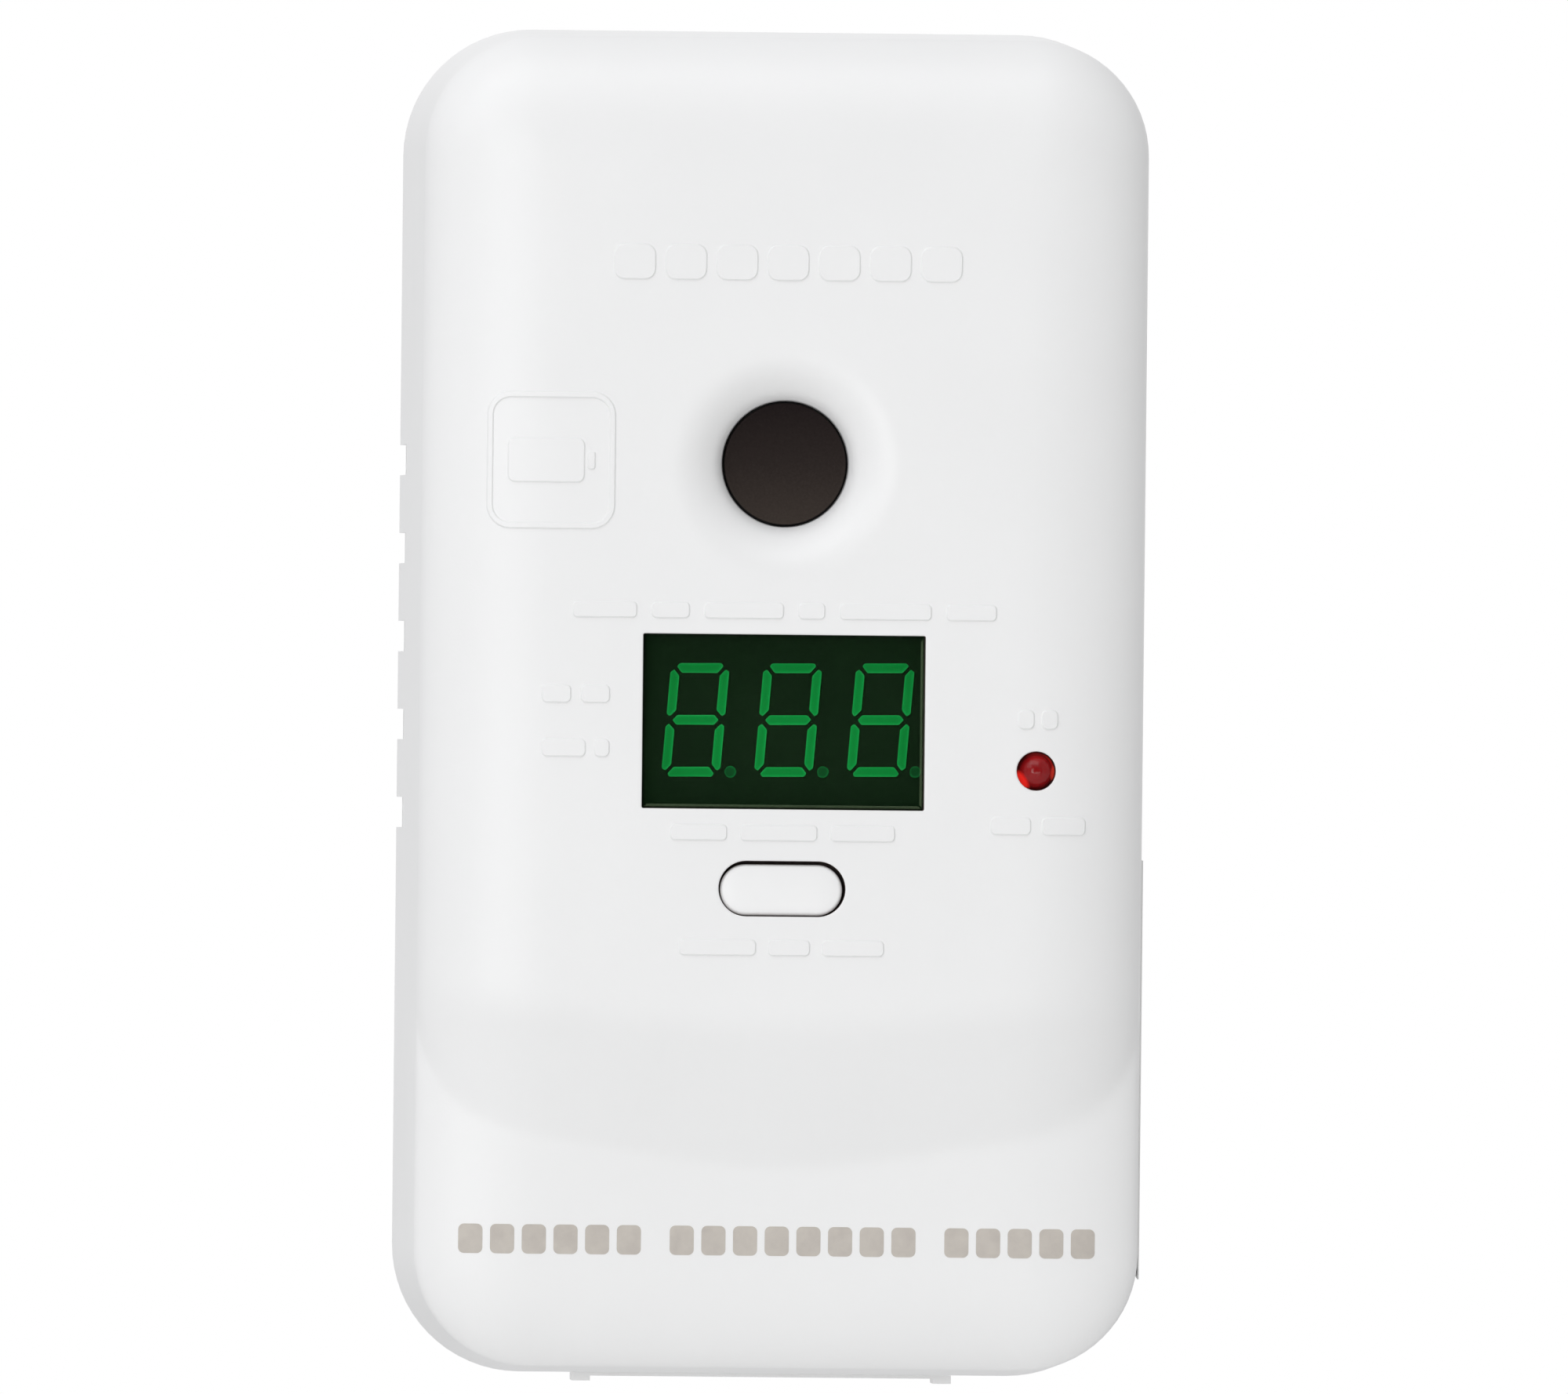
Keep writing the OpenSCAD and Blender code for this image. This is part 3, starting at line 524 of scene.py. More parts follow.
def add_bump(tree, shader, height, distance, strength=1.0):
    bump = tree.nodes.new("ShaderNodeBump")
    bump.inputs["Distance"].default_value = distance
    bump.inputs["Strength"].default_value = strength
    tree.links.new(height, bump.inputs["Height"])
    tree.links.new(bump.outputs["Normal"], shader.inputs["Normal"])
    return bump


def grained(name, dark, light, rough, scale=400.0, grain=4000.0, depth=0.00001, **sockets):
    """A material whose colour and roughness drift between two values, with a fine moulded grain."""
    m, tree, shader = node_material(name)
    broad = add_noise(tree, scale)
    fine = add_noise(tree, grain, 2.0)
    tree.links.new(add_ramp(tree, broad, [(0.3, dark), (0.7, light)]), shader.inputs["Base Color"])
    tree.links.new(add_range(tree, fine, rough[0], rough[1]), shader.inputs["Roughness"])
    if depth:
        add_bump(tree, shader, fine, depth)
    for key, value in sockets.items():
        shader.inputs[key.replace("_", " ")].default_value = value
    return m


def shell_plastic(name, tone):
    """White satin moulded plastic with a fine spark texture and a few dust specks."""
    m, tree, shader = node_material(name)
    broad = add_noise(tree, 60.0)
    dark = tuple(c * 0.985 for c in tone)
    base = add_ramp(tree, broad, [(0.35, dark), (0.65, tone)])
    coords = tree.nodes.new("ShaderNodeTexCoord")
    cells = tree.nodes.new("ShaderNodeTexVoronoi")
    cells.inputs["Scale"].default_value = 260.0
    tree.links.new(coords.outputs["Object"], cells.inputs["Vector"])
    speck_size, share_without = 0.024, 0.90
    near = add_math(tree, "LESS_THAN", cells.outputs["Distance"], speck_size)
    parts = tree.nodes.new("ShaderNodeSeparateColor")
    tree.links.new(cells.outputs["Color"], parts.inputs["Color"])
    rare = add_math(tree, "GREATER_THAN", parts.outputs["Red"], share_without)
    speck = add_math(tree, "MULTIPLY", near, rare)
    feed(tree, shader.inputs["Base Color"], add_mix(tree, speck, base, (0.42, 0.40, 0.37, 1)))
    fine = add_noise(tree, 5200.0, 2.0)
    tree.links.new(add_range(tree, fine, 0.36, 0.46), shader.inputs["Roughness"])
    add_bump(tree, shader, fine, 0.000006)
    return m


WHITE = shell_plastic("case_white", (0.84, 0.84, 0.838))
BUTTON_WHITE = grained("button_white", (0.845, 0.845, 0.843), (0.872, 0.872, 0.87), (0.30, 0.38),
                       90, 5200, 0.000005)
BLACK_FACE = grained("display_face", (0.0025, 0.0036, 0.0025), (0.004, 0.005, 0.0038), (0.5, 0.6), 500,
                     Specular_IOR_Level=0.05)
PRINT_GREY = grained("print_grey", (0.48, 0.44, 0.40), (0.54, 0.50, 0.45), (0.5, 0.6), 900, 6000, 0.0)


# painted shade on the walls of the narrow gaps round the window, the button and the light, where plain
# white looked too pale
PAINTED_GAP_SHADE = grained("painted_gap_shade", (0.085, 0.062, 0.056), (0.14, 0.105, 0.095), (0.7, 0.9), 2000, 9000,
                    0.000005)


def felt_material():
    """Black felt with a fine fibre grain, painted lighter towards its lower edge and darker at its top:
    painted shade of the rim above it.
    """
    m, tree, shader = node_material("horn_felt")
    coords = tree.nodes.new("ShaderNodeTexCoord")
    parts = tree.nodes.new("ShaderNodeSeparateXYZ")
    tree.links.new(coords.outputs["Object"], parts.inputs[0])
    height = tree.nodes.new("ShaderNodeMapRange")
    height.inputs["From Min"].default_value = (HORN_Z - HORN_R) * MM
    height.inputs["From Max"].default_value = (HORN_Z + HORN_R) * MM
    tree.links.new(parts.outputs["Z"], height.inputs["Value"])
    fibre = add_noise(tree, 5200.0, 4.0, 0.7)
    mixed = tree.nodes.new("ShaderNodeMix")
    mixed.inputs["Factor"].default_value = 0.3
    tree.links.new(height.outputs[0], mixed.inputs["A"])
    tree.links.new(fibre, mixed.inputs["B"])
    # painted shade: darkest at the top of the disc, lightest at its lower edge
    stops = [(0.12, (0.040, 0.031, 0.026)), (0.5, (0.021, 0.0155, 0.0138)),
             (0.88, (0.0105, 0.0068, 0.0070))]
    tree.links.new(add_ramp(tree, mixed.outputs["Result"], stops), shader.inputs["Base Color"])
    shader.inputs["Specular IOR Level"].default_value = 0.12
    tree.links.new(add_range(tree, fibre, 0.8, 1.0), shader.inputs["Roughness"])
    add_bump(tree, shader, fibre, 0.00002, 0.6)
    return m


def lens_material():
    m, tree, shader = node_material("lens_green")
    broad = add_noise(tree, 150.0)
    tree.links.new(add_ramp(tree, broad, [(0.3, (0.010, 0.043, 0.012)), (0.7, (0.014, 0.052, 0.015))]),
                   shader.inputs["Base Color"])
    tree.links.new(add_range(tree, add_noise(tree, 900.0), 0.05, 0.09), shader.inputs["Roughness"])
    shader.inputs["Alpha"].default_value = 0.18
    shader.inputs["Specular IOR Level"].default_value = 0.22
    return m


def lens_rim_material():
    """The frosted edge of the tinted window, with painted light: a lighter green where light leaves it."""
    m, tree, shader = node_material("lens_rim")
    broad = add_noise(tree, 150.0)
    tree.links.new(add_ramp(tree, broad, [(0.3, (0.10, 0.16, 0.08)), (0.7, (0.13, 0.20, 0.10))]),
                   shader.inputs["Base Color"])
    tree.links.new(add_range(tree, add_noise(tree, 2500.0), 0.4, 0.55), shader.inputs["Roughness"])
    shader.inputs["Alpha"].default_value = 0.5
    return m


def segment_material():
    m, tree, shader = node_material("segment_painted_glow")
    attr = tree.nodes.new("ShaderNodeAttribute")
    attr.attribute_name = "core"
    noise = add_noise(tree, 2500.0)
    colour = add_ramp(tree, add_math(tree, "MULTIPLY_ADD", noise, 0.08, attr.outputs["Fac"]), [
        (0.04, (0.022, 0.52, 0.115)), (0.3, (0.002, 0.46, 0.075)), (0.6, (0.001, 0.33, 0.052)),
        (0.76, (0.006, 0.20, 0.045)), (0.95, (0.0012, 0.075, 0.016))])
    tree.links.new(colour, shader.inputs["Base Color"])
    # painted light: the segments glow faintly in their own colour, though they are no lamp, so that they
    # read through the tinted window
    tree.links.new(colour, shader.inputs["Emission Color"])
    shader.inputs["Emission Strength"].default_value = 0.22
    shader.inputs["Roughness"].default_value = 0.6
    shader.inputs["Specular IOR Level"].default_value = 0.05
    return m


def led_material():
    """Red epoxy. The light its dome gathers is painted by the surface's direction: a bright crescent
    low on the left, a thin one on the right and a faint one on top."""
    m, tree, shader = node_material("led_red")
    broad = add_noise(tree, 300.0)
    body = add_ramp(tree, broad, [(0.3, (0.25, 0.006, 0.008)), (0.7, (0.34, 0.009, 0.011))])
    geometry = tree.nodes.new("ShaderNodeNewGeometry")
    glow = None
    for towards, stops in (
        ((-0.80, -0.28, -0.53), [(0.80, (0, 0, 0)), (0.93, (0.85, 0.022, 0.014))]),
        ((0.955, -0.28, -0.10), [(0.90, (0, 0, 0)), (0.97, (0.45, 0.03, 0.016))]),
        ((0.0, -0.55, 0.83), [(0.80, (0, 0, 0)), (0.99, (0.10, 0.004, 0.004))]),
    ):
        crescent = add_ramp(tree, add_dot(tree, geometry.outputs["Normal"], towards), stops)
        glow = crescent if glow is None else add_mix(tree, 1.0, glow, crescent, "ADD")
    tree.links.new(body, shader.inputs["Base Color"])
    tree.links.new(glow, shader.inputs["Emission Color"])
    shader.inputs["Emission Strength"].default_value = 0.9
    shader.inputs["Roughness"].default_value = 0.03
    shader.inputs["Alpha"].default_value = 0.8
    shader.inputs["IOR"].default_value = 1.5
    shader.inputs["Specular IOR Level"].default_value = 0.3
    return m


HORN_FELT = felt_material()
LENS_GREEN = lens_material()
LENS_RIM = lens_rim_material()
SEGMENT_GREEN = segment_material()
LED_RED = led_material()
LED_CUP = grained("led_cup", (0.16, 0.10, 0.10), (0.28, 0.18, 0.18), (0.25, 0.35), 900)

# ---------------------------------------------------------------- front cover

GAP_REACH = 0.02             # faces this close to an opening's edge are its walls


def ring_position(x, z, radius):
    """The outline point (x, z) moved to where the outline's corner arcs have this radius."""
    cx = min(max(x, -CORE_X), CORE_X)
    cz = min(max(z, -CORE_Z), CORE_Z)
    dx, dz = x - cx, z - cz
    length = math.hypot(dx, dz)
    return cx + dx / length * radius, cz + dz / length * radius


def make_front_cover():
    xz, tris = triangulate_front()
    x, z = xz[:, 0], xz[:, 1]
    outer = front_height(x, z)
    e = inset_of(x, z, FRONT_R)

    # the inner surface is the outer one, a wall's thickness further in
    reach = 6.0
    pull = np.where(e < reach, WALL * (1 - e / reach), 0.0)
    cx, cz = np.clip(x, -CORE_X, CORE_X), np.clip(z, -CORE_Z, CORE_Z)
    dx, dz = x - cx, z - cz
    length = np.maximum(np.hypot(dx, dz), 1e-9)
    ix, iz = x - dx / length * pull, z - dz / length * pull
    behind_dish = np.hypot(x, z - HORN_Z) < DISH_R + 1
    inner = form_depth(x, z) - dish_drop(x, z) - WALL
    inner = np.where(behind_dish, np.maximum(inner, BODY_D - HORN_RING_T), inner)

    n = len(xz)
    verts = list(zip(x, outer, z)) + list(zip(ix, inner, iz))
    faces = [list(map(int, t)) for t in tris]
    faces += [[n + int(t[0]), n + int(t[2]), n + int(t[1])] for t in tris]

    rim = boundary_edges(tris)
    outline = [(a, b) for a, b in rim if e[a] < 0.01 and e[b] < 0.01]
    holes = [(a, b) for a, b in rim if not (e[a] < 0.01 and e[b] < 0.01)]
    faces += [[b, a, n + a, n + b] for a, b in holes]

    # down the outside of the side wall, round its rear edge and up the inside, as (depth, radius)
    bead, inner_r = 0.2, CORNER_R - WALL
    wall_levels = [(d, CORNER_R - DRAFT * (d - REAR_D)) for d in (24.0, 20.0, 14.0, 9.0, REAR_D + bead)]
    wall_levels += [(REAR_D, CORNER_R - bead), (REAR_D, inner_r + bead), (REAR_D + bead, inner_r)]
    wall_levels += [(14.0, inner_r - DRAFT * 9), (24.0, inner_r - DRAFT * 19)]
    around = sorted({a for a, _ in outline})
    index = {v: k for k, v in enumerate(around)}
    rings = [around]
    for d, r in wall_levels:
        start = len(verts)
        verts += [(px, d, pz) for px, pz in (ring_position(x[v], z[v], r) for v in around)]
        rings.append(list(range(start, start + len(around))))
    rings.append([n + v for v in around])
    for upper, lower in zip(rings, rings[1:]):
        faces += [[upper[index[b]], upper[index[a]], lower[index[a]], lower[index[b]]]
                  for a, b in outline]

    obj = new_object("front_cover_shell", verts, faces)
    cut_vents(obj)
    add_bosses(obj)
    mesh = obj.data
    mesh.materials.clear()
    mesh.materials.append(WHITE)
    mesh.materials.append(PAINTED_GAP_SHADE)
    centres = np.empty(3 * len(mesh.polygons))
    mesh.polygons.foreach_get("center", centres)
    cx, cz = centres[0::3] / MM, centres[2::3] / MM
    in_gap = np.zeros(len(mesh.polygons), bool)
    # painted shade: the walls of the window, button and light openings get the dark gap colour
    for hole in HOLES[1:]:
        in_gap |= np.abs(hole["d"](cx, cz)) < GAP_REACH
    mesh.polygons.foreach_set("material_index", in_gap.astype(int))
    finish_piece(obj, WHITE, "alarm", ["front_cover"], 38)
    return obj


def cut_vents(obj):
    """Slots through both side walls, open at the rear edge."""
    cutter = Shape()
    for side in (-1, 1):
        for k in range(VENT_COUNT):
            z = VENT_TOP_Z - k * VENT_PITCH
            # a rounded slot seen from the side: (depth, z) outline, pushed along x
            d0, d1 = REAR_D - 3, REAR_D + VENT_LEN
            outline = rounded_rect((d0 + d1) / 2, z, d1 - d0, VENT_H, 0.5, 5, 50)
            cutter.loft([[(side * x, d, zz) for d, zz in outline] for x in (24.0, 34.0)])
    tool = new_object("vent_cutter", cutter.verts, cutter.faces)
    tool_mesh = tool.data
    boolean = obj.modifiers.new("vents", "BOOLEAN")
    boolean.operation = "DIFFERENCE"
    boolean.solver = "EXACT"
    boolean.object = tool
    bpy.context.view_layer.update()
    graph = bpy.context.evaluated_depsgraph_get()
    result = bpy.data.meshes.new_from_object(obj.evaluated_get(graph))
    obj.modifiers.clear()
    old = obj.data
    obj.data = result
    result.name = "front_cover_shell"
    bpy.data.meshes.remove(old)
    bpy.data.objects.remove(tool)
    bpy.data.meshes.remove(tool_mesh)


def add_bosses(obj):
    """Screw bosses and locating ribs behind the front panel."""
    inside = Shape()
    top = BODY_D - WALL + 0.6

    def tube(px, pz, bore_r, r, d0, d1, n):
        inside.lathe(px, pz, [(bore_r, d0), (r, d0), (r, d1), (bore_r, d1)], n, True)

    for sx in (-1, 1):
        for sz in (-1, 1):
            px, pz = sx * (CORE_X + 2.6), sz * (CORE_Z + 2.3)
            end = float(form_depth(np.array([px]), np.array([pz]))[0]) - 0.85 * WALL
            tube(px, pz, 1.45, 3.1, 14.2, end, 40)
    for px, pz in ((-21, 36), (21, 36), (-21, -21), (21, -21)):
        tube(px, pz, 1.1, 2.2, 25.7, top, 32)
    tube(LED_X, LED_Z, 1.62, 2.7, top - 2.6, top, 40)

    def frame_ring(outline, d0, thickness):
        inside.loft([[(x, d, z) for x, z in outline(o)]
                     for o, d in ((0, d0), (-thickness, d0), (-thickness, top), (0, top))], True)

    frame_ring(lambda o: rounded_rect(0, WINDOW_Z, WINDOW_W + 4 + 2 * o, WINDOW_H + 4 + 2 * o, 0.5, 4, 50),
               BODY_D - WALL - 2.1, 0.9)
    frame_ring(lambda o: rounded_rect(0, BUTTON_Z, BUTTON_W + 4.6 + 2 * o, BUTTON_H + 4.6 + 2 * o,
                                      BUTTON_H / 2 + 2.3 + o, 10, 50),
               BODY_D - WALL - 2.5, 0.8)
    mesh = bpy.data.meshes.new("bosses")
    mesh.from_pydata([(x * MM, -d * MM, z * MM) for x, d, z in inside.verts], [], inside.faces)
    bm = bmesh.new()
    bm.from_mesh(mesh)
    bmesh.ops.recalc_face_normals(bm, faces=bm.faces)
    bm.from_mesh(obj.data)
    bm.to_mesh(obj.data)
    bm.free()
    bpy.data.meshes.remove(mesh)


make_front_cover()

# ---------------------------------------------------------------- display


def make_lens():
    shape = Shape()
    _, _, d0, d1, _, _ = LENS
    flange_w, flange_h = WINDOW_W + 1.8, WINDOW_H + 1.8
    face_w, face_h = WINDOW_W - 0.2, WINDOW_H - 0.2

    def outline(w, h, r):
        return rounded_rect(0, WINDOW_Z, w, h, r, 4, 60)

    chamfer = 0.24
    step_d = d0 + 0.6
    levels = [(flange_w, flange_h, 0.3, d0), (flange_w, flange_h, 0.3, step_d),
              (face_w, face_h, WINDOW_CORNER, step_d), (face_w, face_h, WINDOW_CORNER, d1 - chamfer),
              (face_w - 0.12, face_h - 0.12, 0.1, d1 - chamfer * 0.35),
              (face_w - 2 * chamfer, face_h - 2 * chamfer, 0.08, d1)]
    shape.loft([[(x, d, z) for x, z in outline(w, h, r)] for w, h, r, d in levels])
    lens = new_piece("display_lens", shape.verts, shape.faces, (LENS_GREEN, LENS_RIM), "alarm",
                     ["display_filter"], 12)
    # painted light: the lower and right-hand edges, where light leaves the window, get the lighter rim
    # colour
    for face in lens.data.polygons:
        bevelled = face.center.y < -(d1 - chamfer) * MM and -face.normal.y < 0.95
        if bevelled and (face.normal.z < -0.4 or face.normal.x > 0.4):
            face.material_index = 1


DIGIT_PITCH, DIGIT_X0, DIGIT_DZ, DIGIT_SLANT = 7.4, -6.95, 0.165, math.tan(math.radians(5.2))
DIGIT_TURN = math.radians(0.6)      # the display sits very slightly turned in its window
UPRIGHT_X, UPRIGHT_HALF, LEVEL_Z, LEVEL_HALF = 1.98, 0.38, 4.14, 0.4
DOT_R, DOT_X = 0.48, 2.77
SEGMENT_RISE, SEGMENT_EDGE = 0.06, 0.03
# how deep into a segment each ring of its face lies, and the brightness key of that ring
SEGMENT_INSETS, SEGMENT_KEYS, DOT_KEYS = (0.05, 0.11, 0.26), (0.05, 0.36, 0.55), (0.7, 0.76, 0.9)


def segment_outlines():
    """Outlines of one digit's seven segments, centred on the digit, before the slant."""
    tip, shoulder = 1.86, 1.5
    middle = [(-tip, 0), (-shoulder, -LEVEL_HALF), (shoulder, -LEVEL_HALF), (tip, 0),
              (shoulder, LEVEL_HALF), (-shoulder, LEVEL_HALF)]
    top = LEVEL_Z + LEVEL_HALF
    level = [(-1.42, top - 2 * LEVEL_HALF), (1.42, top - 2 * LEVEL_HALF), (1.87, top - 0.26),
             (1.68, top), (-1.68, top), (-1.87, top - 0.26)]
    x0, x1 = UPRIGHT_X - UPRIGHT_HALF, UPRIGHT_X + UPRIGHT_HALF
    upright = [(x0, 0.78), (UPRIGHT_X + 0.1, 0.28), (x1, 0.5), (x1, 3.84), (UPRIGHT_X + 0.08, 4.06),
               (x0, 3.53)]
    out = [middle]
    for sz in (1, -1):
        out.append([(x, sz * z) for x, z in level][::sz])
        for sx in (1, -1):
            out.append([(sx * x, sz * z) for x, z in upright][:: sx * sz])
    return out


def inset_polygon(points, s):
    """Moves each side of a convex anticlockwise polygon inwards by s."""
    n = len(points)
    out = []
    for k in range(n):
        p0, p1, p2 = (Vector(points[(k + j) % n]) for j in (-1, 0, 1))
        a, b = (p1 - p0).normalized(), (p2 - p1).normalized()
        na, nb = Vector((-a.y, a.x)), Vector((-b.y, b.x))
        bisector = (na + nb).normalized()
        out.append(tuple(p1 + bisector * s / max(0.35, bisector.dot(na))))
    return out


def soften(points, r=0.09):
    """Cuts each corner with two short edges."""
    n = len(points)
    out = []
    for k in range(n):
        p0, p1, p2 = (Vector(points[(k + j) % n]) for j in (-1, 0, 1))
        a = min(r, (p0 - p1).length * 0.4)
        b = min(r, (p2 - p1).length * 0.4)
        start, end = p1 + (p0 - p1).normalized() * a, p1 + (p2 - p1).normalized() * b
        out += [tuple(start), tuple((start + end) / 4 + p1 / 2), tuple(end)]
    return out


def make_segments():
    _, _, d0, d1, _, _ = box_mm("display_segments")
    d1 += SEGMENT_RISE
    shape = Shape()
    core = []
    digit_z = WINDOW_Z + DIGIT_DZ
    turn = (Matrix.Translation((0, 0, WINDOW_Z)) @ Matrix.Rotation(-DIGIT_TURN, 4, "Y")
            @ Matrix.Translation((0, 0, -WINDOW_Z)))
    for k in range(3):
        cx = DIGIT_X0 + k * DIGIT_PITCH
        for raw in segment_outlines():
            raw = [(cx + x + z * DIGIT_SLANT, digit_z + z) for x, z in raw]
            rings = [soften(raw)] + [soften(inset_polygon(raw, s), 0.07) for s in SEGMENT_INSETS]
            sections = [[(x, d, z) for x, z in rings[0]] for d in (d0, d1 - SEGMENT_EDGE)]
            sections += [[(x, d1, z) for x, z in r] for r in rings[1:]]
            shape.loft(sections)
            n = len(rings[0])
            core += [0.0] * 2 * n + [key for key in SEGMENT_KEYS for _ in range(n)]
            core += [0.0, SEGMENT_KEYS[-1]]
        dot_x, dot_z = cx + DOT_X, digit_z - LEVEL_Z
        profile = [(DOT_R, d0), (DOT_R, d1 - SEGMENT_EDGE), (DOT_R - 0.07, d1), (DOT_R - 0.17, d1)]
        n = 28
        shape.lathe(dot_x, dot_z, profile, n)
        side, edge, face = DOT_KEYS
        core += [side] * 2 * n + [edge] * n + [face] * n + [side, face]
    turned = [tuple(turn @ Vector(v)) for v in shape.verts]
    obj = new_piece("display_segment_faces", turned, shape.faces, SEGMENT_GREEN, "alarm",
                    ["display_segments"], 30)
    layer = obj.data.attributes.new("core", "FLOAT", "POINT")
    layer.data.foreach_set("value", core)


make_lens()
make_segments()

# ---------------------------------------------------------------- test button


def make_button():
    shape = Shape()
    x0, x1, d0, d1, z0, z1 = box_mm("test_button")
    cx, cz = (x0 + x1) / 2, (z0 + z1) / 2
    flange_w, flange_h = x1 - x0, z1 - z0
    lip, gap = 1.8, 0.32
    cap_w, cap_h = flange_w - lip - gap, flange_h - lip - gap
    stem_w, stem_h = 3.2, 3.19
    flange_d0, flange_d1 = d1 - 3.75, d1 - 2.65

    def outline(w, h):
        return rounded_rect(cx, cz, w, h, h / 2, 16, 60)

    sections = [[(x, d, z) for x, z in outline(w, h)] for w, h, d in (
        (stem_w, stem_h, d0), (stem_w, stem_h, flange_d0), (flange_w, flange_h, flange_d0),
        (flange_w, flange_h, flange_d1), (cap_w, cap_h, flange_d1))]
    r, pillow = 0.34, 0.06
    for k in range(7):
        a = math.pi / 2 * k / 6
        o = 2 * r * (1 - math.cos(a))
        d = d1 - pillow - r * (1 - math.sin(a))
        sections.append([(x, d, z) for x, z in outline(cap_w - o, cap_h - o)])
    for s in (0.35, 0.7, 1.0):
        o = 2 * (r + s)
        d = d1 - pillow + pillow * (1 - (1 - s) ** 2)
        sections.append([(x, d, z) for x, z in outline(cap_w - o, cap_h - o)])
    shape.loft(sections)
    cap = new_piece("test_button_cap", shape.verts, shape.faces, (BUTTON_WHITE, PAINTED_GAP_SHADE), "test_button",
                    ["test_button"], 45)
    # painted shade: the cap's sides and flange, down in the gap, get the dark gap colour
    for face in cap.data.polygons:
        face.material_index = int(-face.center.y / MM < d1 - pillow - r - 0.05)


make_button()

# ---------------------------------------------------------------- status light


def make_led():
    _, _, d0, d1, _, _ = box_mm("status_led")
    r = LED_R
    shape = Shape()
    profile = [(r - 0.05, d0), (r, d0 + 0.05), (r, d1 - r)]
    profile += [(r * math.cos(a), d1 - r + r * math.sin(a))
                for a in (math.pi / 2 * k / 12 for k in range(1, 12))]
    shape.lathe(LED_X, LED_Z, profile, 56)
    new_piece("status_led_dome", shape.verts, shape.faces, LED_RED, "alarm", ["status_led"], 40)

    inner = Shape()
    cup_d = d1 - 2.6
    inner.lathe(LED_X - 0.25, LED_Z, [(0.55, d0 + 0.3), (0.6, cup_d - 0.5), (0.72, cup_d), (0.6, cup_d),
                                      (0.3, cup_d - 0.35)], 32)
    inner.prism(lambda o: rounded_rect(LED_X + 0.85, LED_Z, 0.5 + o, 1.0 + o, 0.1, 3, 60),
                rounded_levels(d0 + 0.3, cup_d - 0.1, 0.05))
    new_piece("status_led_frame", inner.verts, inner.faces, LED_CUP, "alarm", [], 40)


make_led()

# ---------------------------------------------------------------- sounder cap


def make_horn_cap():
    x0, x1, d0, d1, _, _ = box_mm("horn_dust_cap")
    r = (x1 - x0) / 2
    bowl_r, bowl_depth = 22.0, 0.6
    shape = Shape()
    profile = [(0.8 * r, d0), (r, d0), (r, d1 - 0.05), (r - 0.04, d1 - 0.01)]
    for k in range(1, 12):
        rr = r * (1 - k / 12) - 0.04
        profile.append((rr, min(d1, d1 + bowl_r - bowl_depth - math.sqrt(bowl_r**2 - rr**2))))
    shape.lathe(0, HORN_Z, profile, 96)
    new_piece("horn_cap_disc", shape.verts, shape.faces, HORN_FELT, "alarm", ["horn_dust_cap"],
              40)


make_horn_cap()

# ---------------------------------------------------------------- printed marks


def make_print():
    """A row of plain grey blocks printed on the lower panel, in three groups."""
    shape = Shape()
    z_mid, block_h, block_w, step = -42.95, 2.35, 1.93, 2.53
    groups, space = (6, 8, 5), 2.3
    total = sum(groups) * step - len(groups) * (step - block_w) + (len(groups) - 1) * space
    x = -total / 2
    ink, corner = 0.02, 0.45
    for count in groups:
        for _ in range(count):
            cx = x + block_w / 2
            sections = []
            for shrink, rise in ((0.05, -ink), (0.0, -ink), (0.0, ink), (0.35, ink), (0.7, ink)):
                ring = rounded_rect(cx, z_mid, block_w - 2 * shrink, block_h - 2 * shrink,
                                    max(corner - shrink, 0.1), 5, 60)
                depth = form_depth(np.array([p[0] for p in ring]), np.array([p[1] for p in ring]))
                sections.append([(p[0], d + rise, p[1]) for p, d in zip(ring, depth)])
            shape.loft(sections)
            x += step
        x += space - (step - block_w)
    new_piece("front_print_blocks", shape.verts, shape.faces, PRINT_GREY, "alarm", [], 50)


make_print()

# ---------------------------------------------------------------- carried-over CAD nodes

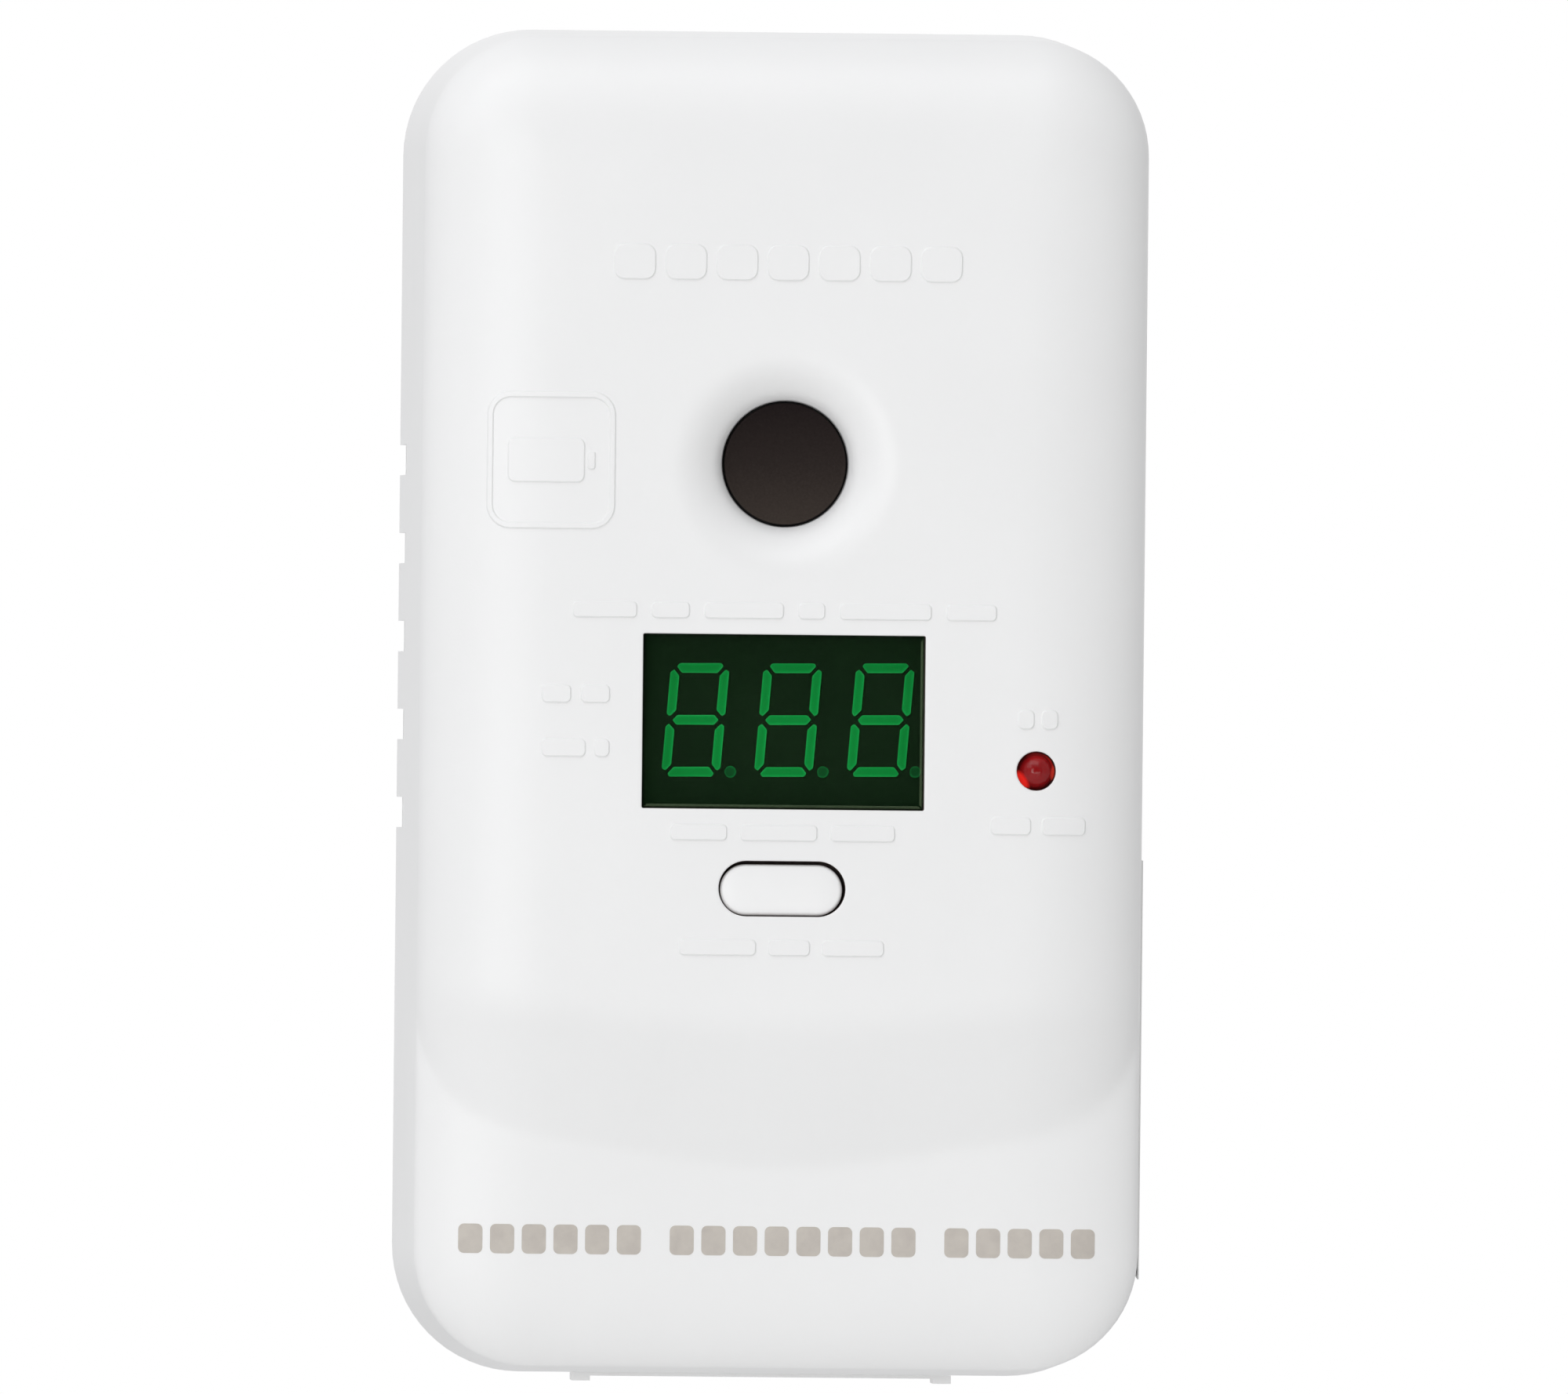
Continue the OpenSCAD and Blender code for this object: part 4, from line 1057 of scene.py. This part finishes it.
INNER = {
    "display_black": BLACK_FACE,
    "spacer_white": grained("spacer_white", (0.62, 0.62, 0.59), (0.72, 0.72, 0.69), (0.5, 0.6)),
    "horn_black": grained("horn_black", (0.012, 0.012, 0.012), (0.022, 0.022, 0.023), (0.5, 0.65)),
    "foam_black": grained("foam_black", (0.012, 0.012, 0.012), (0.035, 0.035, 0.036), (0.85, 0.95),
                          1500, 6000, 0.00006),
    "piezo_brass": grained("piezo_brass", (0.60, 0.42, 0.16), (0.72, 0.52, 0.22), (0.28, 0.4), 200,
                           3000, 0.000004, Metallic=1.0),
    "piezo_ceramic": grained("piezo_ceramic", (0.72, 0.69, 0.60), (0.80, 0.77, 0.69), (0.55, 0.7)),
    "tin": grained("tin_plate", (0.58, 0.58, 0.56), (0.72, 0.72, 0.70), (0.25, 0.4), 600, 5000,
                   0.000004, Metallic=1.0),
    "board_green": grained("board_green", (0.008, 0.085, 0.03), (0.014, 0.12, 0.045), (0.28, 0.4), 250),
    "chip_black": grained("chip_black", (0.014, 0.014, 0.016), (0.028, 0.028, 0.030), (0.5, 0.65)),
    "chip_tan": grained("chip_tan", (0.40, 0.28, 0.15), (0.52, 0.38, 0.22), (0.5, 0.65)),
    "coil_black": grained("coil_black", (0.018, 0.018, 0.02), (0.035, 0.035, 0.038), (0.6, 0.75)),
    "sleeve_blue": grained("sleeve_blue", (0.012, 0.018, 0.07), (0.02, 0.03, 0.10), (0.25, 0.35)),
    "can_steel": grained("can_steel", (0.55, 0.56, 0.57), (0.68, 0.69, 0.70), (0.25, 0.38), 300, 4000,
                         0.000004, Metallic=1.0),
    "cap_grey": grained("cap_grey", (0.07, 0.075, 0.08), (0.11, 0.115, 0.12), (0.5, 0.6)),
    "cell_green": grained("cell_green", (0.02, 0.13, 0.05), (0.03, 0.18, 0.075), (0.25, 0.35), 200),
    "slider_red": grained("slider_red", (0.42, 0.02, 0.015), (0.52, 0.03, 0.022), (0.4, 0.5)),
    "plunger_red": grained("plunger_red", (0.34, 0.025, 0.02), (0.44, 0.035, 0.03), (0.4, 0.5)),
    "screw_steel": grained("screw_zinc", (0.50, 0.51, 0.53), (0.66, 0.67, 0.69), (0.22, 0.36), 500,
                           4000, 0.000006, Metallic=1.0),
    "shell_white": WHITE,
}


def label_material(name, node, paper, ink, rows_per_m, words_per_m):
    """Paper with rows of plain grey dashes in place of print, which keep clear of the label's edges."""
    lo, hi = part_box(node)
    margin = 1.6 * MM
    row_fill, dash_fill, row_shift = 0.42, 0.78, 0.37
    m, tree, shader = node_material(name)
    coords = tree.nodes.new("ShaderNodeTexCoord")
    split = tree.nodes.new("ShaderNodeSeparateXYZ")
    tree.links.new(coords.outputs["Object"], split.inputs["Vector"])

    def calc(operation, *values):
        return add_math(tree, operation, *values)

    row = calc("MULTIPLY", split.outputs["Z"], rows_per_m)
    in_row = calc("LESS_THAN", calc("FRACT", row), row_fill)
    along = add_dot(tree, coords.outputs["Object"], (1, 1, 0))
    shift = calc("MULTIPLY", calc("FLOOR", row), row_shift)
    dash = calc("FRACT", calc("ADD", calc("MULTIPLY", along, words_per_m), shift))
    in_dash = calc("LESS_THAN", dash, dash_fill)
    mask = calc("MULTIPLY", in_row, in_dash)
    for value, low, high in ((split.outputs["Z"], lo.z, hi.z),
                             (along, lo.x + lo.y, hi.x + hi.y)):
        off_centre = calc("ABSOLUTE", calc("SUBTRACT", value, (low + high) / 2))
        within = calc("LESS_THAN", off_centre, (high - low) / 2 - margin)
        mask = calc("MULTIPLY", mask, within)
    tone = add_ramp(tree, add_noise(tree, 200.0), [(0.3, tuple(c * 0.97 for c in paper)), (0.7, paper)])
    feed(tree, shader.inputs["Base Color"], add_mix(tree, mask, tone, (*ink, 1)))
    tree.links.new(add_range(tree, add_noise(tree, 3000.0), 0.35, 0.5), shader.inputs["Roughness"])
    return m


INNER["label_white"] = label_material("label_white", "side_label", (0.82, 0.82, 0.81),
                                      (0.35, 0.36, 0.38), 480, 190)
INNER["label_silver"] = label_material("label_silver", "rear_label", (0.52, 0.53, 0.54),
                                       (0.12, 0.12, 0.13), 400, 150)

slot_of = {s["node"]: s["material_slot"] for s in frame["record"]["subparts"]}
replaced_nodes = {"front_cover", "display_filter", "display_segments", "test_button", "status_led",
                  "horn_dust_cap"}
# moulded edges are slightly rounded: the radius in millimetres of each node's edges
BEVELLED = {"mounting_bracket": 0.3, "rear_cover": 0.15}
for node_name, obj in frame["nodes"].items():
    if node_name in replaced_nodes:
        continue
    for s in obj.material_slots:
        s.material = INNER[slot_of[node_name]]
    if node_name in BEVELLED:
        bevel = obj.modifiers.new("soft_edges", "BEVEL")
        bevel.width = BEVELLED[node_name] * MM
        bevel.segments = 3
        bevel.limit_method = "ANGLE"
        bevel.angle_limit = math.radians(40)
        bevel.harden_normals = True

# ---------------------------------------------------------------- floor, light and camera


def make_floor():
    half, cells, floor_z = 2.2, 24, -0.32
    verts, faces = [], []
    for j in range(cells + 1):
        for i in range(cells + 1):
            verts.append(((i / cells - 0.5) * 2 * half, (j / cells - 0.5) * 2 * half, floor_z))
    for j in range(cells):
        for i in range(cells):
            a = j * (cells + 1) + i
            faces.append((a, a + 1, a + cells + 2, a + cells + 1))
    mesh = bpy.data.meshes.new("studio_floor")
    mesh.from_pydata(verts, [], faces)
    floor = bpy.data.objects.new("studio_floor", mesh)
    mesh.materials.append(grained("studio_paper", (0.80, 0.80, 0.80), (0.83, 0.83, 0.83), (0.8, 0.9), 5))
    bpy.context.scene.collection.objects.link(floor)


def make_world():
    world = bpy.data.worlds.new("studio")
    bpy.context.scene.world = world
    world.use_nodes = True
    tree = world.node_tree
    tree.nodes.clear()
    out = tree.nodes.new("ShaderNodeOutputWorld")
    seen = tree.nodes.new("ShaderNodeBackground")
    seen.inputs["Color"].default_value = (1, 1, 1, 1)
    room = tree.nodes.new("ShaderNodeBackground")
    coords = tree.nodes.new("ShaderNodeTexCoord")
    tone = add_ramp(tree, add_dot(tree, coords.outputs["Generated"], (0.04, -1, 0)), [
        (0.0, (0.512, 0.513, 0.516)), (0.75, (0.426, 0.428, 0.431)), (0.93, (0.12, 0.12, 0.12)),
        (0.985, (0.03, 0.03, 0.03))])
    tree.links.new(tone, room.inputs["Color"])
    level = ROOM_LIGHT
    for towards in ROOM_SIDES:
        lobe = add_dot(tree, coords.outputs["Generated"], towards)
        level = add_math(tree, "ADD", add_math(tree, "MAXIMUM", lobe, 0.0), level)
    tree.links.new(level, room.inputs["Strength"])
    path = tree.nodes.new("ShaderNodeLightPath")
    mix = tree.nodes.new("ShaderNodeMixShader")
    tree.links.new(path.outputs["Is Camera Ray"], mix.inputs["Fac"])
    tree.links.new(room.outputs[0], mix.inputs[1])
    tree.links.new(seen.outputs[0], mix.inputs[2])
    tree.links.new(mix.outputs[0], out.inputs["Surface"])


def area_light(name, at, size, power, colour):
    data = bpy.data.lights.new(name, "AREA")
    data.shape = "RECTANGLE"
    data.size, data.size_y = size
    data.energy = power
    data.color = colour
    lamp = bpy.data.objects.new(name, data)
    lamp.location = at
    lamp.rotation_mode = "QUATERNION"
    lamp.rotation_quaternion = (-Vector(at)).to_track_quat("-Z", "Y")
    bpy.context.scene.collection.objects.link(lamp)


# name, place, size, power in watts, colour
LIGHTS = (
    ("soft_front", (-0.30, -0.85, 0.0), (0.3, 0.4), 1.34, (1.0, 1.0, 1.0)),
    ("low_front", (0.0, -1.3, -0.2), (1.2, 0.2), 1.97, (1.0, 1.0, 0.98)),
    ("top_near", (-0.1, -0.4, 0.55), (0.6, 0.3), 0.98, (1.0, 1.0, 1.02)),
    ("top_left", (-0.45, -0.5, 0.42), (0.4, 0.4), 0.56, (0.98, 1.0, 1.06)),
    ("front_top", (0.0, -0.8, 0.6), (0.5, 0.3), 0.24, (1.0, 1.0, 1.0)),
)
# the room is brighter from above, from behind and a little from the left
ROOM_SIDES = ((0.0, 0.0, 0.53), (0.0, 0.91, 0.0), (-0.143, -0.084, 0.167))
ROOM_LIGHT = 0.84
make_floor()
make_world()
for light in LIGHTS:
    area_light(*light)

DISTANCE = 2.25
AZIMUTH, ELEVATION, ROLL = math.radians(-2.3), math.radians(0.0), math.radians(0.6)
FRAME_WIDTH = 0.125          # width of the view at the front panel
AIM_Z = 0.0005
camera_data = bpy.data.cameras.new("camera")
camera = bpy.data.objects.new("camera", camera_data)
bpy.context.scene.collection.objects.link(camera)
camera_data.sensor_width = 36.0
camera_data.lens = camera_data.sensor_width * DISTANCE / FRAME_WIDTH
camera_data.clip_start, camera_data.clip_end = 0.1, 50.0
aim = Vector((0.0, -BODY_D * MM, AIM_Z))
back = Vector((math.sin(AZIMUTH) * math.cos(ELEVATION), -math.cos(AZIMUTH) * math.cos(ELEVATION),
               math.sin(ELEVATION)))
camera.location = aim + back * DISTANCE
camera.rotation_mode = "QUATERNION"
camera.rotation_quaternion = ((-back).to_track_quat("-Z", "Y")
                              @ Matrix.Rotation(ROLL, 3, "Z").to_quaternion())
bpy.context.scene.camera = camera
bpy.context.scene.view_settings.view_transform = "Standard"
